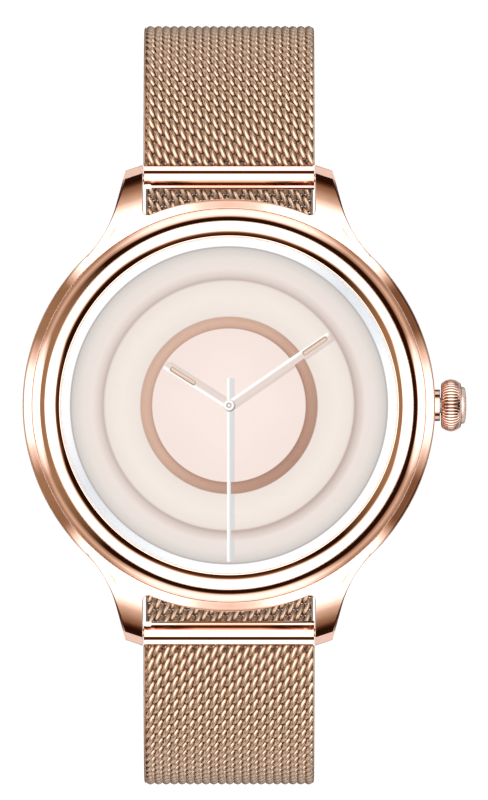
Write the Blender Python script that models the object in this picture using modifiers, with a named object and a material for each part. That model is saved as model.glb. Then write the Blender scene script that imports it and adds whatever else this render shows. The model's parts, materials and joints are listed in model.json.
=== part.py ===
"""A round smartwatch on a woven-steel (Milanese) mesh band, closed into a loop.

The frame: +Z is the dial's normal, +Y points to 12 o'clock and +X to the crown. The closed band
stands on its clasp, and the origin is the centre of the clasp's flat outer face.
Sizes are named in millimetres, and MM turns them into Blender's metres where a mesh is made.
"""

import math

import bmesh
import bpy
from mathutils import Matrix, Vector

MM = 0.001

# Case
CASE_RADIUS = 21.0
CASE_INNER_RADIUS = 16.9
CASE_TOP_Z = 57.9
CASE_BOTTOM_Z = 49.1
BACK_LEDGE_Z = 50.3
BEZEL_SEAT_RADIUS = 20.15
BEZEL_SEAT_Z = 56.9

# Bezel, glass and screen
BEZEL_OUTER_RADIUS = 20.05
BEZEL_INNER_RADIUS = 17.15
BEZEL_CREST_RADIUS = 18.2
BEZEL_CREST_Z = 59.6
BEZEL_STEP_RADIUS = 18.8
BEZEL_BOTTOM_Z = 57.05
GLASS_RADIUS = 17.05
GLASS_TOP_Z = 59.15
GLASS_BOTTOM_Z = 58.15
SCREEN_RADIUS = 16.6
SCREEN_TOP_Z = 57.8
SCREEN_BOTTOM_Z = 56.5

# Lugs and spring bars
LUG_INNER_X = 8.9
LUG_TIP_INNER = (8.9, 24.5)
LUG_TIP_OUTER = (10.55, 23.95)
LUG_FLANK_LEAN = 15.0  # degrees from the Y axis
LUG_FLANK_RADIUS = 11.4
LUG_ROOT_RADIUS = 20.4
LUG_TOP_START = (16.2, 57.9)
LUG_TOP_RADIUS = 11.57
LUG_FACET_Y = 23.4
LUG_TIP_TOP_Z = 53.6
LUG_BOTTOM_Z = 49.9
BAR_Y = 23.2
BAR_Z = 51.5
BAR_RADIUS = 0.75
BAR_BORE_RADIUS = 0.52
PIN_RADIUS = 0.4
LUG_HOLE_RADIUS = 0.5
LUG_HOLE_END_X = 10.0
KNOB_X = (-8.5, -8.0)
RELEASE_TRAVEL = 1.1

# Band end pieces and woven band
END_RADIUS = 1.19
END_BORE_RADIUS = 0.85
END_HALF_WIDTH = 8.7
BAND_HALF_WIDTH = 8.75
BAND_THICKNESS = 1.3
BAND_START_Y = 24.55
BAND_SIDE_Y = 38.45
TOP_ARC_RADIUS = 16.85
TOP_ARC_Z = 34.74
LOW_ARC_RADIUS = 24.0
BAND_BOTTOM_Z = 2.65
HINGE_GAP = 0.7
FLEX_JOINTS = 4
UPPER_BAND_END_Y = 2.5
LOWER_BAND_END_Y = 6.3

# Clasp
CLASP_HALF_WIDTH = 9.8
CLASP_HALF_LENGTH = 12.0
CLASP_HEIGHT = 4.2
CLASP_FLOOR = 1.8
CHANNEL_HALF_WIDTH = 9.0
BRIDGE_Y = (4.0, 10.0)
BRIDGE_UNDER_Z = 3.6
LEVER_PIVOT = (10.0, 0.85)
LEVER_PIN_RADIUS = 0.4

# Crown
CROWN_Z = 54.3
CROWN_TUBE_RADIUS = 1.6
CROWN_TUBE_BORE = 1.27
CROWN_SHAFT_RADIUS = 0.78
CROWN_BARREL_RADIUS = 2.66
CROWN_BARREL_X = (21.62, 23.7)
CROWN_CAP_RADIUS = 1.95
CROWN_END_X = 24.2

# Back cover
COVER_RADIUS = 18.95
COVER_BOTTOM_Z = 48.7
COVER_TOP_Z = 50.2
SCREW_CIRCLE = 17.95
SCREW_SHANK_RADIUS = 0.45
SCREW_HEAD_RADIUS = 0.7
LENS_RADIUS = 6.9
CONTACT_PLACES = ((-2.5, -12.5), (2.5, -12.5))

FIT = 0.08  # clearance round a pin or shaft in its hole
STEPS = 64  # facets round the large turned pieces that show
HIDDEN_STEPS = 40  # facets round those inside
FINE_STEPS = 20  # facets round the small ones

ROSE_GOLD = ("rose_gold_polished", (0.86, 0.58, 0.44), 0.12, 1.0)
ROSE_MESH = ("rose_gold_mesh", (0.78, 0.53, 0.41), 0.3, 1.0)
STEEL = ("steel_plain", (0.62, 0.6, 0.58), 0.3, 1.0)
GLASS = ("clear_glass", (0.97, 0.97, 0.97), 0.03, 0.0)
SCREEN = ("screen_face", (0.93, 0.86, 0.83), 0.35, 0.0)
DARK_LENS = ("dark_lens", (0.03, 0.03, 0.035), 0.08, 0.0)
BLACK_PLASTIC = ("black_plastic", (0.03, 0.03, 0.03), 0.5, 0.0)
RUBBER = ("black_rubber", (0.02, 0.02, 0.02), 0.8, 0.0)
BOARD = ("board_green", (0.03, 0.16, 0.08), 0.45, 0.0)
CELL_WRAP = ("cell_wrap", (0.5, 0.52, 0.55), 0.4, 0.6)
AMBER_FILM = ("amber_film", (0.55, 0.3, 0.08), 0.35, 0.0)
GOLD_PAD = ("gold_pad", (0.83, 0.63, 0.3), 0.2, 1.0)


# ---------------------------------------------------------------- scene and materials

def clear_scene():
    for old in list(bpy.data.objects):
        bpy.data.objects.remove(old, do_unlink=True)


def new_collection(name):
    made = bpy.data.collections.new(name)
    bpy.context.scene.collection.children.link(made)
    return made


def material(kind):
    name, colour, roughness, metallic = kind
    found = bpy.data.materials.get(name)
    if found:
        return found
    made = bpy.data.materials.new(name)
    made.use_nodes = True
    shader = made.node_tree.nodes["Principled BSDF"]
    shader.inputs["Base Color"].default_value = (*colour, 1.0)
    shader.inputs["Roughness"].default_value = roughness
    shader.inputs["Metallic"].default_value = metallic
    return made


clear_scene()
PARTS = new_collection("smartwatch")
CUTTERS = new_collection("cutters")


def link_part(obj, kind):
    PARTS.objects.link(obj)
    obj.data.materials.append(material(kind))
    return obj


def link_cutter(obj):
    CUTTERS.objects.link(obj)
    obj.hide_render = True
    obj.display_type = "WIRE"
    return obj


def joint_empty(name, place, parent=None):
    """An empty on a joint's axis, which the pieces of one moving body hang from."""
    empty = bpy.data.objects.new(name, None)
    PARTS.objects.link(empty)
    empty.empty_display_size = 2 * MM
    empty.location = Vector(place) * MM
    if parent:
        empty.parent = parent
        empty.location = empty.location - world_place(parent)
    return empty


def world_place(empty):
    place = empty.location.copy()
    while empty.parent:
        empty = empty.parent
        place += empty.location
    return place


def hang(obj, empty):
    """Parents a piece to a joint empty and keeps it where it is."""
    obj.parent = empty
    obj.matrix_parent_inverse = Matrix.Translation(-world_place(empty))
    return obj


# ---------------------------------------------------------------- shapes

def mesh_object(name, bm):
    mesh = bpy.data.meshes.new(name)
    bm.to_mesh(mesh)
    bm.free()
    return bpy.data.objects.new(name, mesh)


def shade(obj, degrees=35.0):
    obj.data.shade_smooth()
    obj.data.set_sharp_from_angle(angle=math.radians(degrees))
    return obj


def turned(name, profile, steps=FINE_STEPS, closed=False):
    """A body turned about Z from (radius, height) points that run down its outer side.
    A closed profile makes a ring. An open one starts and ends on the axis."""
    bm = bmesh.new()
    points = [bm.verts.new((r * MM, 0.0, z * MM)) for r, z in profile]
    pairs = list(zip(points, points[1:]))
    if closed:
        pairs.append((points[-1], points[0]))
    for a, b in pairs:
        bm.edges.new((a, b))
    obj = mesh_object(name, bm)
    screw = obj.modifiers.new("turn", "SCREW")
    screw.steps = screw.render_steps = steps
    screw.use_merge_vertices = True
    screw.merge_threshold = 1e-6
    screw.use_smooth_shade = True
    return obj


def settle(obj, matrix):
    """Applies the modifiers and a placing matrix, so that the mesh is in the watch's frame."""
    evaluated = obj.evaluated_get(bpy.context.evaluated_depsgraph_get())
    mesh = bpy.data.meshes.new_from_object(evaluated)
    mesh.transform(matrix)
    obj.modifiers.clear()
    old = obj.data
    obj.data = mesh
    mesh.name = obj.name
    if old.users == 0:
        bpy.data.meshes.remove(old)
    return obj


def along_x(obj, place):
    """Lays a piece that was turned about Z down along X: its heights become X."""
    bpy.context.view_layer.update()
    turn = Matrix(((0, 0, 1, 0), (0, 1, 0, 0), (-1, 0, 0, 0), (0, 0, 0, 1)))
    return settle(obj, Matrix.Translation(Vector(place) * MM) @ turn)


def prism(name, outline, low, high, axis="Z"):
    """A flat outline of (a, b) points pushed from low to high along an axis.
    The outline lies in XY for axis Z, and in YZ for axis X."""
    bm = bmesh.new()
    if axis == "Z":
        corners = [(a, b, low) for a, b in outline]
        push = (0.0, 0.0, high - low)
    else:
        corners = [(low, a, b) for a, b in outline]
        push = (high - low, 0.0, 0.0)
    face = bm.faces.new([bm.verts.new(Vector(c) * MM) for c in corners])
    result = bmesh.ops.extrude_face_region(bm, geom=[face])
    moved = [g for g in result["geom"] if isinstance(g, bmesh.types.BMVert)]
    bmesh.ops.translate(bm, vec=Vector(push) * MM, verts=moved)
    bmesh.ops.recalc_face_normals(bm, faces=bm.faces)
    return mesh_object(name, bm)


def box(name, low, high):
    bm = bmesh.new()
    bmesh.ops.create_cube(bm, size=1.0)
    size = Vector(high) - Vector(low)
    centre = (Vector(high) + Vector(low)) / 2
    bmesh.ops.scale(bm, vec=size * MM, verts=bm.verts)
    bmesh.ops.translate(bm, vec=centre * MM, verts=bm.verts)
    return mesh_object(name, bm)


def rod(name, radius, low, high, place, axis="Z", steps=FINE_STEPS):
    """A cylinder from low to high along an axis, through place in the other two directions."""
    bm = bmesh.new()
    bmesh.ops.create_cone(bm, cap_ends=True, segments=steps, radius1=radius * MM,
                          radius2=radius * MM, depth=(high - low) * MM)
    middle = (high + low) / 2
    if axis == "X":
        bmesh.ops.rotate(bm, matrix=Matrix.Rotation(math.pi / 2, 3, "Y"), verts=bm.verts)
        centre = Vector((middle, place[0], place[1]))
    else:
        centre = Vector((place[0], place[1], middle))
    bmesh.ops.translate(bm, vec=centre * MM, verts=bm.verts)
    return mesh_object(name, bm)


def boolean(obj, other, operation="DIFFERENCE"):
    made = obj.modifiers.new(other.name, "BOOLEAN")
    made.operation = operation
    made.object = other
    made.solver = "EXACT"
    return obj


def cut(obj, *cutters):
    for cutter in cutters:
        boolean(obj, link_cutter(cutter))
    return obj


def add(obj, *others):
    for other in others:
        boolean(obj, link_cutter(other), "UNION")
    return obj


def bevel(obj, width, segments=2, degrees=40.0):
    made = obj.modifiers.new("bevel", "BEVEL")
    made.width = width * MM
    made.segments = segments
    made.limit_method = "ANGLE"
    made.angle_limit = math.radians(degrees)
    return obj


def arc(centre, radius, start, end, steps):
    """Points on an arc, with angles in degrees from the first axis."""
    angles = [math.radians(start + (end - start) * i / steps) for i in range(steps + 1)]
    return [(centre[0] + radius * math.cos(a), centre[1] + radius * math.sin(a)) for a in angles]


# ---------------------------------------------------------------- the band's path

LOW_ARC_Z = BAND_BOTTOM_Z + LOW_ARC_RADIUS
TOP_ARC_Y = BAND_SIDE_Y - TOP_ARC_RADIUS
LOW_ARC_Y = BAND_SIDE_Y - LOW_ARC_RADIUS
START_SLOPE = math.degrees(math.asin((BAND_START_Y - TOP_ARC_Y) / TOP_ARC_RADIUS))
FLEX_TURN = (180.0 - START_SLOPE) / FLEX_JOINTS
FLEX_SLOPES = [START_SLOPE + FLEX_TURN * (i + 0.5) for i in range(FLEX_JOINTS)]


def band_line(slope, lift=0.0):
    """The point (y, z) where the band's middle line slopes down by this many degrees,
    lifted off it towards the outside. Slopes under 90 lie on the top arc, others on the low one."""
    a = math.radians(slope)
    if slope < 90.0:
        centre_y, centre_z, radius = TOP_ARC_Y, TOP_ARC_Z, TOP_ARC_RADIUS
    else:
        centre_y, centre_z, radius = LOW_ARC_Y, LOW_ARC_Z, LOW_ARC_RADIUS
    return (centre_y + (radius + lift) * math.sin(a), centre_z + (radius + lift) * math.cos(a))


def slopes_between(first, last):
    """Slopes every 6 degrees or so, with both ends of the straight side in between."""
    def spread(a, b):
        count = max(1, math.ceil((b - a) / 6.0))
        return [a + (b - a) * i / count for i in range(count + 1)]
    if first < 90.0 <= last:
        return spread(first, 90.0 - 1e-6) + spread(90.0, last)
    return spread(first, last)


def band_outline(first, last, flat_to=None):
    """The side view of one stretch of band, from one slope to another, and then flat to a Y."""
    half = BAND_THICKNESS / 2
    outer = [band_line(s, half) for s in slopes_between(first, last)]
    inner = [band_line(s, -half) for s in slopes_between(first, last)]
    if flat_to is not None:
        outer.append((flat_to, BAND_BOTTOM_Z - half))
        inner.append((flat_to, BAND_BOTTOM_Z + half))
    return outer + inner[::-1]


def gap_slope(slope):
    """Half a hinge gap, as degrees of the band's own curve at that slope."""
    radius = TOP_ARC_RADIUS if slope < 90.0 else LOW_ARC_RADIUS
    return math.degrees(HINGE_GAP / 2 / radius)


# ---------------------------------------------------------------- case, bezel and glass

def lug_outline():
    """One lug from above: a straight inner face, a slanted tip and a flank that sweeps
    into the round case with a hollow fillet."""
    lean = math.radians(LUG_FLANK_LEAN)
    tip = Vector(LUG_TIP_OUTER)
    down = Vector((math.sin(lean), -math.cos(lean)))
    out = Vector((math.cos(lean), math.sin(lean)))
    start = tip + out * LUG_FLANK_RADIUS
    reach = CASE_RADIUS + LUG_FLANK_RADIUS
    along = start.dot(down)
    travel = -along - math.sqrt(along ** 2 - start.length_squared + reach ** 2)
    centre = start + down * travel
    first = math.degrees(math.atan2(-out.y, -out.x)) % 360.0
    last = math.degrees(math.atan2(-centre.y, -centre.x)) % 360.0
    flank = arc(centre, LUG_FLANK_RADIUS, first, last, 8)
    root_from = math.degrees(math.atan2(flank[-1][1], flank[-1][0]))
    root_to = math.degrees(math.acos(LUG_INNER_X / LUG_ROOT_RADIUS))
    root = arc((0.0, 0.0), LUG_ROOT_RADIUS, root_from, root_to, 4)
    return [LUG_TIP_INNER, LUG_TIP_OUTER, *flank, *root]


def lug_side():
    """One lug from the side, as (y, z): a top that falls in an arc to a steep tip facet."""
    start_y, start_z = LUG_TOP_START
    last = math.degrees(math.asin((LUG_FACET_Y - start_y) / LUG_TOP_RADIUS))
    top = arc((start_y, start_z - LUG_TOP_RADIUS), LUG_TOP_RADIUS, 90.0, 90.0 - last, 8)
    tip_y = LUG_TIP_INNER[1]
    tip = [(tip_y + 0.1, LUG_TIP_TOP_Z), (tip_y + 0.1, LUG_BOTTOM_Z + 0.8)]
    return [*top, *tip, (tip_y - 0.6, LUG_BOTTOM_Z), (start_y, LUG_BOTTOM_Z)]


def make_lugs():
    """All four lugs, for joining to the case."""
    lugs = prism("lugs", lug_outline(), CASE_BOTTOM_Z, CASE_TOP_Z + 1.0)
    side = link_cutter(prism("lug_side", lug_side(), LUG_INNER_X - 1.0, CASE_RADIUS, axis="X"))
    boolean(lugs, side, "INTERSECT")
    mirror = lugs.modifiers.new("four_corners", "MIRROR")
    mirror.use_axis = (True, True, False)
    mirror.merge_threshold = 1e-6
    return lugs


def make_case():
    """The turned case with its four lugs, and holes for the bars, the crown and the screws."""
    profile = [
        (BEZEL_SEAT_RADIUS, CASE_TOP_Z), (CASE_RADIUS - 0.1, CASE_TOP_Z - 0.42),
        (CASE_RADIUS, CASE_TOP_Z - 0.6),
        (CASE_RADIUS, 52.4), (20.1, 49.5), (19.7, CASE_BOTTOM_Z),
        (COVER_RADIUS + 0.1, CASE_BOTTOM_Z), (COVER_RADIUS + 0.1, BACK_LEDGE_Z),
        (CASE_INNER_RADIUS, BACK_LEDGE_Z), (CASE_INNER_RADIUS, BEZEL_SEAT_Z),
        (BEZEL_SEAT_RADIUS, BEZEL_SEAT_Z),
    ]
    case = link_part(turned("case_body", profile, STEPS, closed=True), ROSE_GOLD)
    add(case, make_lugs())
    for side_x in (-1, 1):
        for side_y in (-1, 1):
            low, high = sorted((side_x * (LUG_INNER_X - 0.5), side_x * LUG_HOLE_END_X))
            cut(case, rod("bar_hole", LUG_HOLE_RADIUS, low, high, (side_y * BAR_Y, BAR_Z), "X", 16))
    cut(case, rod("crown_hole", CROWN_TUBE_RADIUS + FIT, 15.0, 23.0, (0.0, CROWN_Z), "X"))
    for x, y in screw_places():
        cut(case, rod("screw_hole", SCREW_SHANK_RADIUS + 0.1, 49.8, 52.8, (x, y), steps=16))
    return shade(case)


def make_bezel():
    """A stepped ring: a hollow outer slope, a step, and a broad crest that holds the glass."""
    top, step = BEZEL_CREST_Z, BEZEL_STEP_RADIUS
    crest = [(BEZEL_INNER_RADIUS, top - 0.46), (17.6, top - 0.15), (BEZEL_CREST_RADIUS, top),
             (18.7, top - 0.1), (step, top - 0.3), (step, top - 0.88)]
    slope = [(19.2, top - 1.18), (19.45, top - 1.31), (BEZEL_OUTER_RADIUS, top - 1.46)]
    profile = [*crest, *slope, (BEZEL_OUTER_RADIUS, BEZEL_BOTTOM_Z),
               (BEZEL_INNER_RADIUS, BEZEL_BOTTOM_Z)]
    return shade(link_part(turned("bezel_ring", profile, STEPS, closed=True), ROSE_GOLD))


def make_glass_and_screen():
    edge = 0.5
    glass = [(0.0, GLASS_TOP_Z), (GLASS_RADIUS - edge, GLASS_TOP_Z - 0.05),
             (GLASS_RADIUS, GLASS_TOP_Z - 0.35), (GLASS_RADIUS, GLASS_BOTTOM_Z),
             (0.0, GLASS_BOTTOM_Z)]
    shade(link_part(turned("cover_glass", glass, STEPS), GLASS))
    gasket = [(GLASS_RADIUS, GLASS_BOTTOM_Z - 0.05), (GLASS_RADIUS, SCREEN_TOP_Z - 0.7),
              (SCREEN_RADIUS + 0.1, SCREEN_TOP_Z - 0.7), (SCREEN_RADIUS + 0.1, SCREEN_TOP_Z + 0.05),
              (SCREEN_RADIUS - 0.3, SCREEN_TOP_Z + 0.05),
              (SCREEN_RADIUS - 0.3, GLASS_BOTTOM_Z - 0.05)]
    shade(link_part(turned("glass_gasket", gasket, HIDDEN_STEPS, closed=True), RUBBER))
    screen = [(0.0, SCREEN_TOP_Z), (SCREEN_RADIUS, SCREEN_TOP_Z),
              (SCREEN_RADIUS, SCREEN_BOTTOM_Z), (0.0, SCREEN_BOTTOM_Z)]
    shade(link_part(turned("display_panel", screen, STEPS), SCREEN))


# ---------------------------------------------------------------- inside the case

def make_chassis():
    """The plastic tray that holds the cell, the motor and the board."""
    outer, wall = 16.7, 15.7
    floor_low, floor_high, top = 51.35, 52.0, 56.2
    hole = 4.5
    profile = [(outer, top), (outer, floor_low), (hole, floor_low), (hole, floor_high),
               (wall, floor_high), (wall, top)]
    chassis = link_part(turned("inner_chassis", profile, HIDDEN_STEPS, closed=True), BLACK_PLASTIC)
    cut(chassis, box("crown_window", (14.0, -2.3, 52.1), (18.0, 2.3, 57.0)))
    return shade(chassis)


def make_electronics():
    board_low, board_high, board_radius = 55.2, 55.7, 15.3
    board = link_part(rod("main_board", board_radius, board_low, board_high, (0, 0),
                          steps=HIDDEN_STEPS), BOARD)
    cut(board, box("board_notch", (13.7, -2.3, 54.0), (16.0, 2.3, 57.0)))
    can = link_part(box("shield_can", (-6.0, -5.0, 55.8), (6.0, 5.0, 56.4)), STEEL)
    bevel(can, 0.2, 1)
    cell = link_part(box("battery", (-10.5, -10.0, 52.6), (6.3, 10.0, 55.0)), CELL_WRAP)
    bevel(cell, 0.6)
    motor = link_part(rod("vibration_motor", 3.4, 52.2, 54.9, (10.3, -6.0), steps=24), STEEL)
    bevel(motor, 0.2, 1)
    switch = link_part(box("crown_switch", (12.6, -1.6, 53.2), (14.4, 1.6, 55.0)), BLACK_PLASTIC)
    bevel(switch, 0.15, 1)
    for piece in (board, can, cell, motor, switch):
        shade(piece)


def make_ribbons():
    """The flat flexible leads: sensor board to main board round the cell, and screen to board."""
    thick, half_width = 0.15, 2.0
    rise_y, run_z, far_y = 3.2, 52.2, 10.3
    sensor = [(2.0, 51.2), (rise_y, 51.2), (rise_y, run_z), (far_y + thick, run_z),
              (far_y + thick, 55.0), (far_y, 55.0), (far_y, run_z + thick),
              (rise_y - thick, run_z + thick), (rise_y - thick, 51.2 + thick), (2.0, 51.2 + thick)]
    fold_y, low_z, high_z = -12.4, 55.85, 56.25
    screen = [(-7.0, high_z), (fold_y, high_z), (fold_y, low_z + thick), (-9.0, low_z + thick),
              (-9.0, low_z), (fold_y - thick, low_z), (fold_y - thick, high_z + thick),
              (-7.0, high_z + thick)]
    for name, outline in (("sensor_ribbon", sensor), ("display_ribbon", screen)):
        shade(link_part(prism(name, outline, -half_width, half_width, "X"), AMBER_FILM))


# ---------------------------------------------------------------- back cover

def screw_places():
    angles = [math.radians(45.0 + 90.0 * i) for i in range(4)]
    return [(SCREW_CIRCLE * math.cos(a), SCREW_CIRCLE * math.sin(a)) for a in angles]


def make_back_cover():
    seat_radius, seat_z, hole_radius = LENS_RADIUS + 0.1, 49.5, 6.2
    groove_in, groove_out, groove_z = 16.95, 17.32, 49.75
    profile = [
        (COVER_RADIUS, COVER_TOP_Z), (COVER_RADIUS, 49.0), (18.75, COVER_BOTTOM_Z),
        (seat_radius, COVER_BOTTOM_Z), (seat_radius, seat_z), (hole_radius, seat_z),
        (hole_radius, COVER_TOP_Z), (groove_in, COVER_TOP_Z), (groove_in, groove_z),
        (groove_out, groove_z), (groove_out, COVER_TOP_Z),
    ]
    cover = link_part(turned("back_cover", profile, 48, closed=True), ROSE_GOLD)
    for x, y in screw_places():
        hole = turned("cover_screw_hole", [
            (0.0, 50.5), (SCREW_SHANK_RADIUS + 0.1, 50.5), (SCREW_SHANK_RADIUS + 0.1, 49.5),
            (SCREW_HEAD_RADIUS + 0.1, 49.25), (SCREW_HEAD_RADIUS + 0.1, 48.0), (0.0, 48.0)], 16)
        hole.location = Vector((x, y, 0.0)) * MM
        cut(cover, hole)
    for x, y in CONTACT_PLACES:
        cut(cover, rod("contact_hole", 1.0, 48.0, 51.0, (x, y), steps=16))
    shade(cover)

    gasket = [(groove_out - 0.04, COVER_TOP_Z + 0.05), (groove_out - 0.04, groove_z + 0.05),
              (groove_in + 0.04, groove_z + 0.05), (groove_in + 0.04, COVER_TOP_Z + 0.05)]
    shade(link_part(turned("back_cover_gasket", gasket, 48, closed=True), RUBBER))


def make_back_screws():
    for number, (x, y) in enumerate(screw_places(), 1):
        screw = link_part(turned(f"back_screw_{number}", [
            (0.0, 52.4), (SCREW_SHANK_RADIUS - 0.1, 52.4), (SCREW_SHANK_RADIUS, 52.2),
            (SCREW_SHANK_RADIUS, 49.55), (SCREW_HEAD_RADIUS, 49.3),
            (SCREW_HEAD_RADIUS, 48.85), (0.0, 48.85)], 16), STEEL)
        cut(screw, box("screw_slot", (-0.8, -0.12, 48.0), (0.8, 0.12, 49.1)))
        screw.modifiers[-1].object.location = Vector((x, y, 0.0)) * MM
        screw.location = Vector((x, y, 0.0)) * MM
        shade(screw)


def make_sensor():
    """The heart-rate window, and the board with its lamps behind it."""
    dome_drop = 0.55
    edge_z, top_z = 48.65, 49.42
    dome_radius = (LENS_RADIUS ** 2 + dome_drop ** 2) / (2 * dome_drop)
    spread = math.degrees(math.asin(LENS_RADIUS / dome_radius))
    dome = arc((0.0, edge_z - dome_drop + dome_radius), dome_radius, 270.0 + spread, 270.0, 5)
    profile = [(0.0, top_z), (LENS_RADIUS, top_z), *dome[:-1], (0.0, edge_z - dome_drop)]
    shade(link_part(turned("sensor_lens", profile, 32), DARK_LENS))

    sensor = link_part(rod("heart_rate_sensor", 5.8, 50.5, 51.1, (0, 0), steps=32), BOARD)
    lamps = [(-2.6, 0.0), (2.6, 0.0), (0.0, 2.6), (0.0, -2.6)]
    for x, y in lamps:
        add(sensor, box("lamp", (x - 0.8, y - 0.6, 49.9), (x + 0.8, y + 0.6, 50.6)))
    shade(sensor)

    for number, (x, y) in enumerate(CONTACT_PLACES, 1):
        shade(link_part(turned(f"charge_contact_{number}", [
            (0.0, 50.8), (0.55, 50.8), (0.55, 50.3), (0.9, 50.3), (0.9, 48.65),
            (0.0, 48.65)], 20), GOLD_PAD)).location = Vector((x, y, 0.0)) * MM


# ---------------------------------------------------------------- crown

def make_crown(slider, rotor):
    """The knob, its shaft and ring clip turn and slide. The pusher only slides with them."""
    axis = (0.0, 0.0, CROWN_Z)
    tube = turned("crown_tube", [
        (CROWN_TUBE_RADIUS, 21.5), (CROWN_TUBE_RADIUS, 17.1), (CROWN_TUBE_BORE, 17.1),
        (CROWN_TUBE_BORE, 21.5)], closed=True)
    link_part(tube, ROSE_GOLD)
    shade(along_x(tube, axis))

    inner_x, outer_x = CROWN_BARREL_X
    recess, socket = CROWN_TUBE_RADIUS + 0.15, CROWN_SHAFT_RADIUS + 0.05
    bulge = CROWN_END_X - outer_x
    dome = [(CROWN_CAP_RADIUS * math.cos(math.radians(a)),
             outer_x + bulge * math.sin(math.radians(a))) for a in (65.0, 40.0, 15.0, 0.0)]
    profile = [
        (0.0, CROWN_END_X), *dome,
        (CROWN_BARREL_RADIUS - 0.45, outer_x), (CROWN_BARREL_RADIUS, outer_x - 0.45),
        (CROWN_BARREL_RADIUS, inner_x + 0.35), (CROWN_BARREL_RADIUS - 0.35, inner_x),
        (recess, inner_x), (recess, 22.25), (socket, 22.25), (socket, 23.0), (0.0, 23.0),
    ]
    knob = turned("crown_knob", profile, 24)
    link_part(knob, ROSE_GOLD)
    hang(shade(along_x(knob, axis)), rotor)

    shaft = turned("crown_shaft", [
        (0.0, 22.9), (CROWN_SHAFT_RADIUS, 22.9), (CROWN_SHAFT_RADIUS, 16.6),
        (0.5, 16.6), (0.5, 16.25), (CROWN_SHAFT_RADIUS, 16.25), (CROWN_SHAFT_RADIUS, 16.0),
        (0.0, 16.0)])
    link_part(shaft, STEEL)
    hang(shade(along_x(shaft, axis)), rotor)

    clip = turned("crown_clip", [(1.6, 16.53), (1.6, 16.3), (0.58, 16.3), (0.58, 16.53)],
                  closed=True)
    link_part(clip, STEEL)
    hang(shade(along_x(clip, axis)), rotor)

    ring_middle = (CROWN_SHAFT_RADIUS + CROWN_TUBE_BORE) / 2
    ring_thickness = (CROWN_TUBE_BORE - CROWN_SHAFT_RADIUS) / 2 - 0.04
    section = arc((ring_middle, 19.4), ring_thickness, 360.0, 60.0, 5)
    seal = turned("crown_seal", section, closed=True)
    link_part(seal, RUBBER)
    hang(shade(along_x(seal, axis)), rotor)

    pusher = turned("crown_pusher", [(0.0, 15.85), (1.1, 15.85), (1.1, 15.2), (0.7, 15.2),
                                     (0.7, 14.98), (0.0, 14.98)])
    link_part(pusher, STEEL)
    hang(shade(along_x(pusher, axis)), slider)


# ---------------------------------------------------------------- band

def knob_slot(name, side, depth, half_height, low_x):
    """A slot that the release knob slides in, open towards the end of the bar and the case."""
    low_y, high_y = sorted((side * (BAR_Y - depth), side * BAR_Y))
    high_x = KNOB_X[1] + RELEASE_TRAVEL + 0.1
    return box(name, (low_x, low_y, BAR_Z - half_height), (high_x, high_y, BAR_Z + half_height))


def make_band_end(label, side, strap):
    """The polished end piece round the spring bar, with a notch for the release knob."""
    end = link_part(rod(f"{label}_band_end", END_RADIUS, -END_HALF_WIDTH, END_HALF_WIDTH,
                        (side * BAR_Y, BAR_Z), "X", 32), ROSE_GOLD)
    cut(end, rod("end_bore", END_BORE_RADIUS, -10.0, 10.0, (side * BAR_Y, BAR_Z), "X"))
    cut(end, knob_slot("knob_slot", side, 2.0, 0.5, -10.0))
    hang(shade(end), strap)


def make_spring_bar(label, side, strap, pin_body):
    """A hollow bar with one fixed tip, and a sliding tip with the knob that draws it in."""
    place = (side * BAR_Y, BAR_Z)
    bar = link_part(rod(f"{label}_spring_bar", BAR_RADIUS, -8.0, 8.5, place, "X"), STEEL)
    add(bar, rod("fixed_tip", PIN_RADIUS, 8.0, 9.7, place, "X"))
    cut(bar, rod("bar_bore", BAR_BORE_RADIUS, -9.0, -4.2, place, "X"))
    cut(bar, knob_slot("bar_slot", side, 1.5, 0.4, -9.0))
    hang(shade(bar), strap)

    pin = link_part(rod(f"{label}_release_pin", PIN_RADIUS, -9.7, -5.5, place, "X"), STEEL)
    low_y, high_y = sorted((side * (BAR_Y - 1.1), side * (BAR_Y - 0.1)))
    add(pin, box("knob", (KNOB_X[0], low_y, BAR_Z - 0.28), (KNOB_X[1], high_y, BAR_Z + 0.28)))
    hang(shade(pin), pin_body)


def mirrored(outline, side):
    return [(side * y, z) for y, z in outline]


def make_band(label, side, flat_end, case):
    """One half of the woven band: an end piece on its spring bar, and stretches of mesh
    that hinge on each other. Returns the empty of the last stretch."""
    strap = joint_empty(f"{label}_strap_1", (0.0, side * BAR_Y, BAR_Z), case)
    pin_body = joint_empty(f"{label}_release", (KNOB_X[0], side * BAR_Y, BAR_Z), strap)
    make_band_end(label, side, strap)
    make_spring_bar(label, side, strap, pin_body)
    edges = [START_SLOPE, *FLEX_SLOPES, 180.0]
    for number in range(FLEX_JOINTS + 1):
        first, last = edges[number], edges[number + 1]
        if number > 0:
            y, z = band_line(first)
            strap = joint_empty(f"{label}_strap_{number + 1}", (0.0, side * y, z), strap)
            first += gap_slope(first)
        if number < FLEX_JOINTS:
            outline = band_outline(first, last - gap_slope(last))
        else:
            outline = band_outline(first, last, flat_end)
        mesh = prism(f"{label}_mesh_{number + 1}", mirrored(outline, side),
                     -BAND_HALF_WIDTH, BAND_HALF_WIDTH, axis="X")
        link_part(mesh, ROSE_MESH)
        hang(shade(mesh), strap)
    return strap


# ---------------------------------------------------------------- clasp

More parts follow.
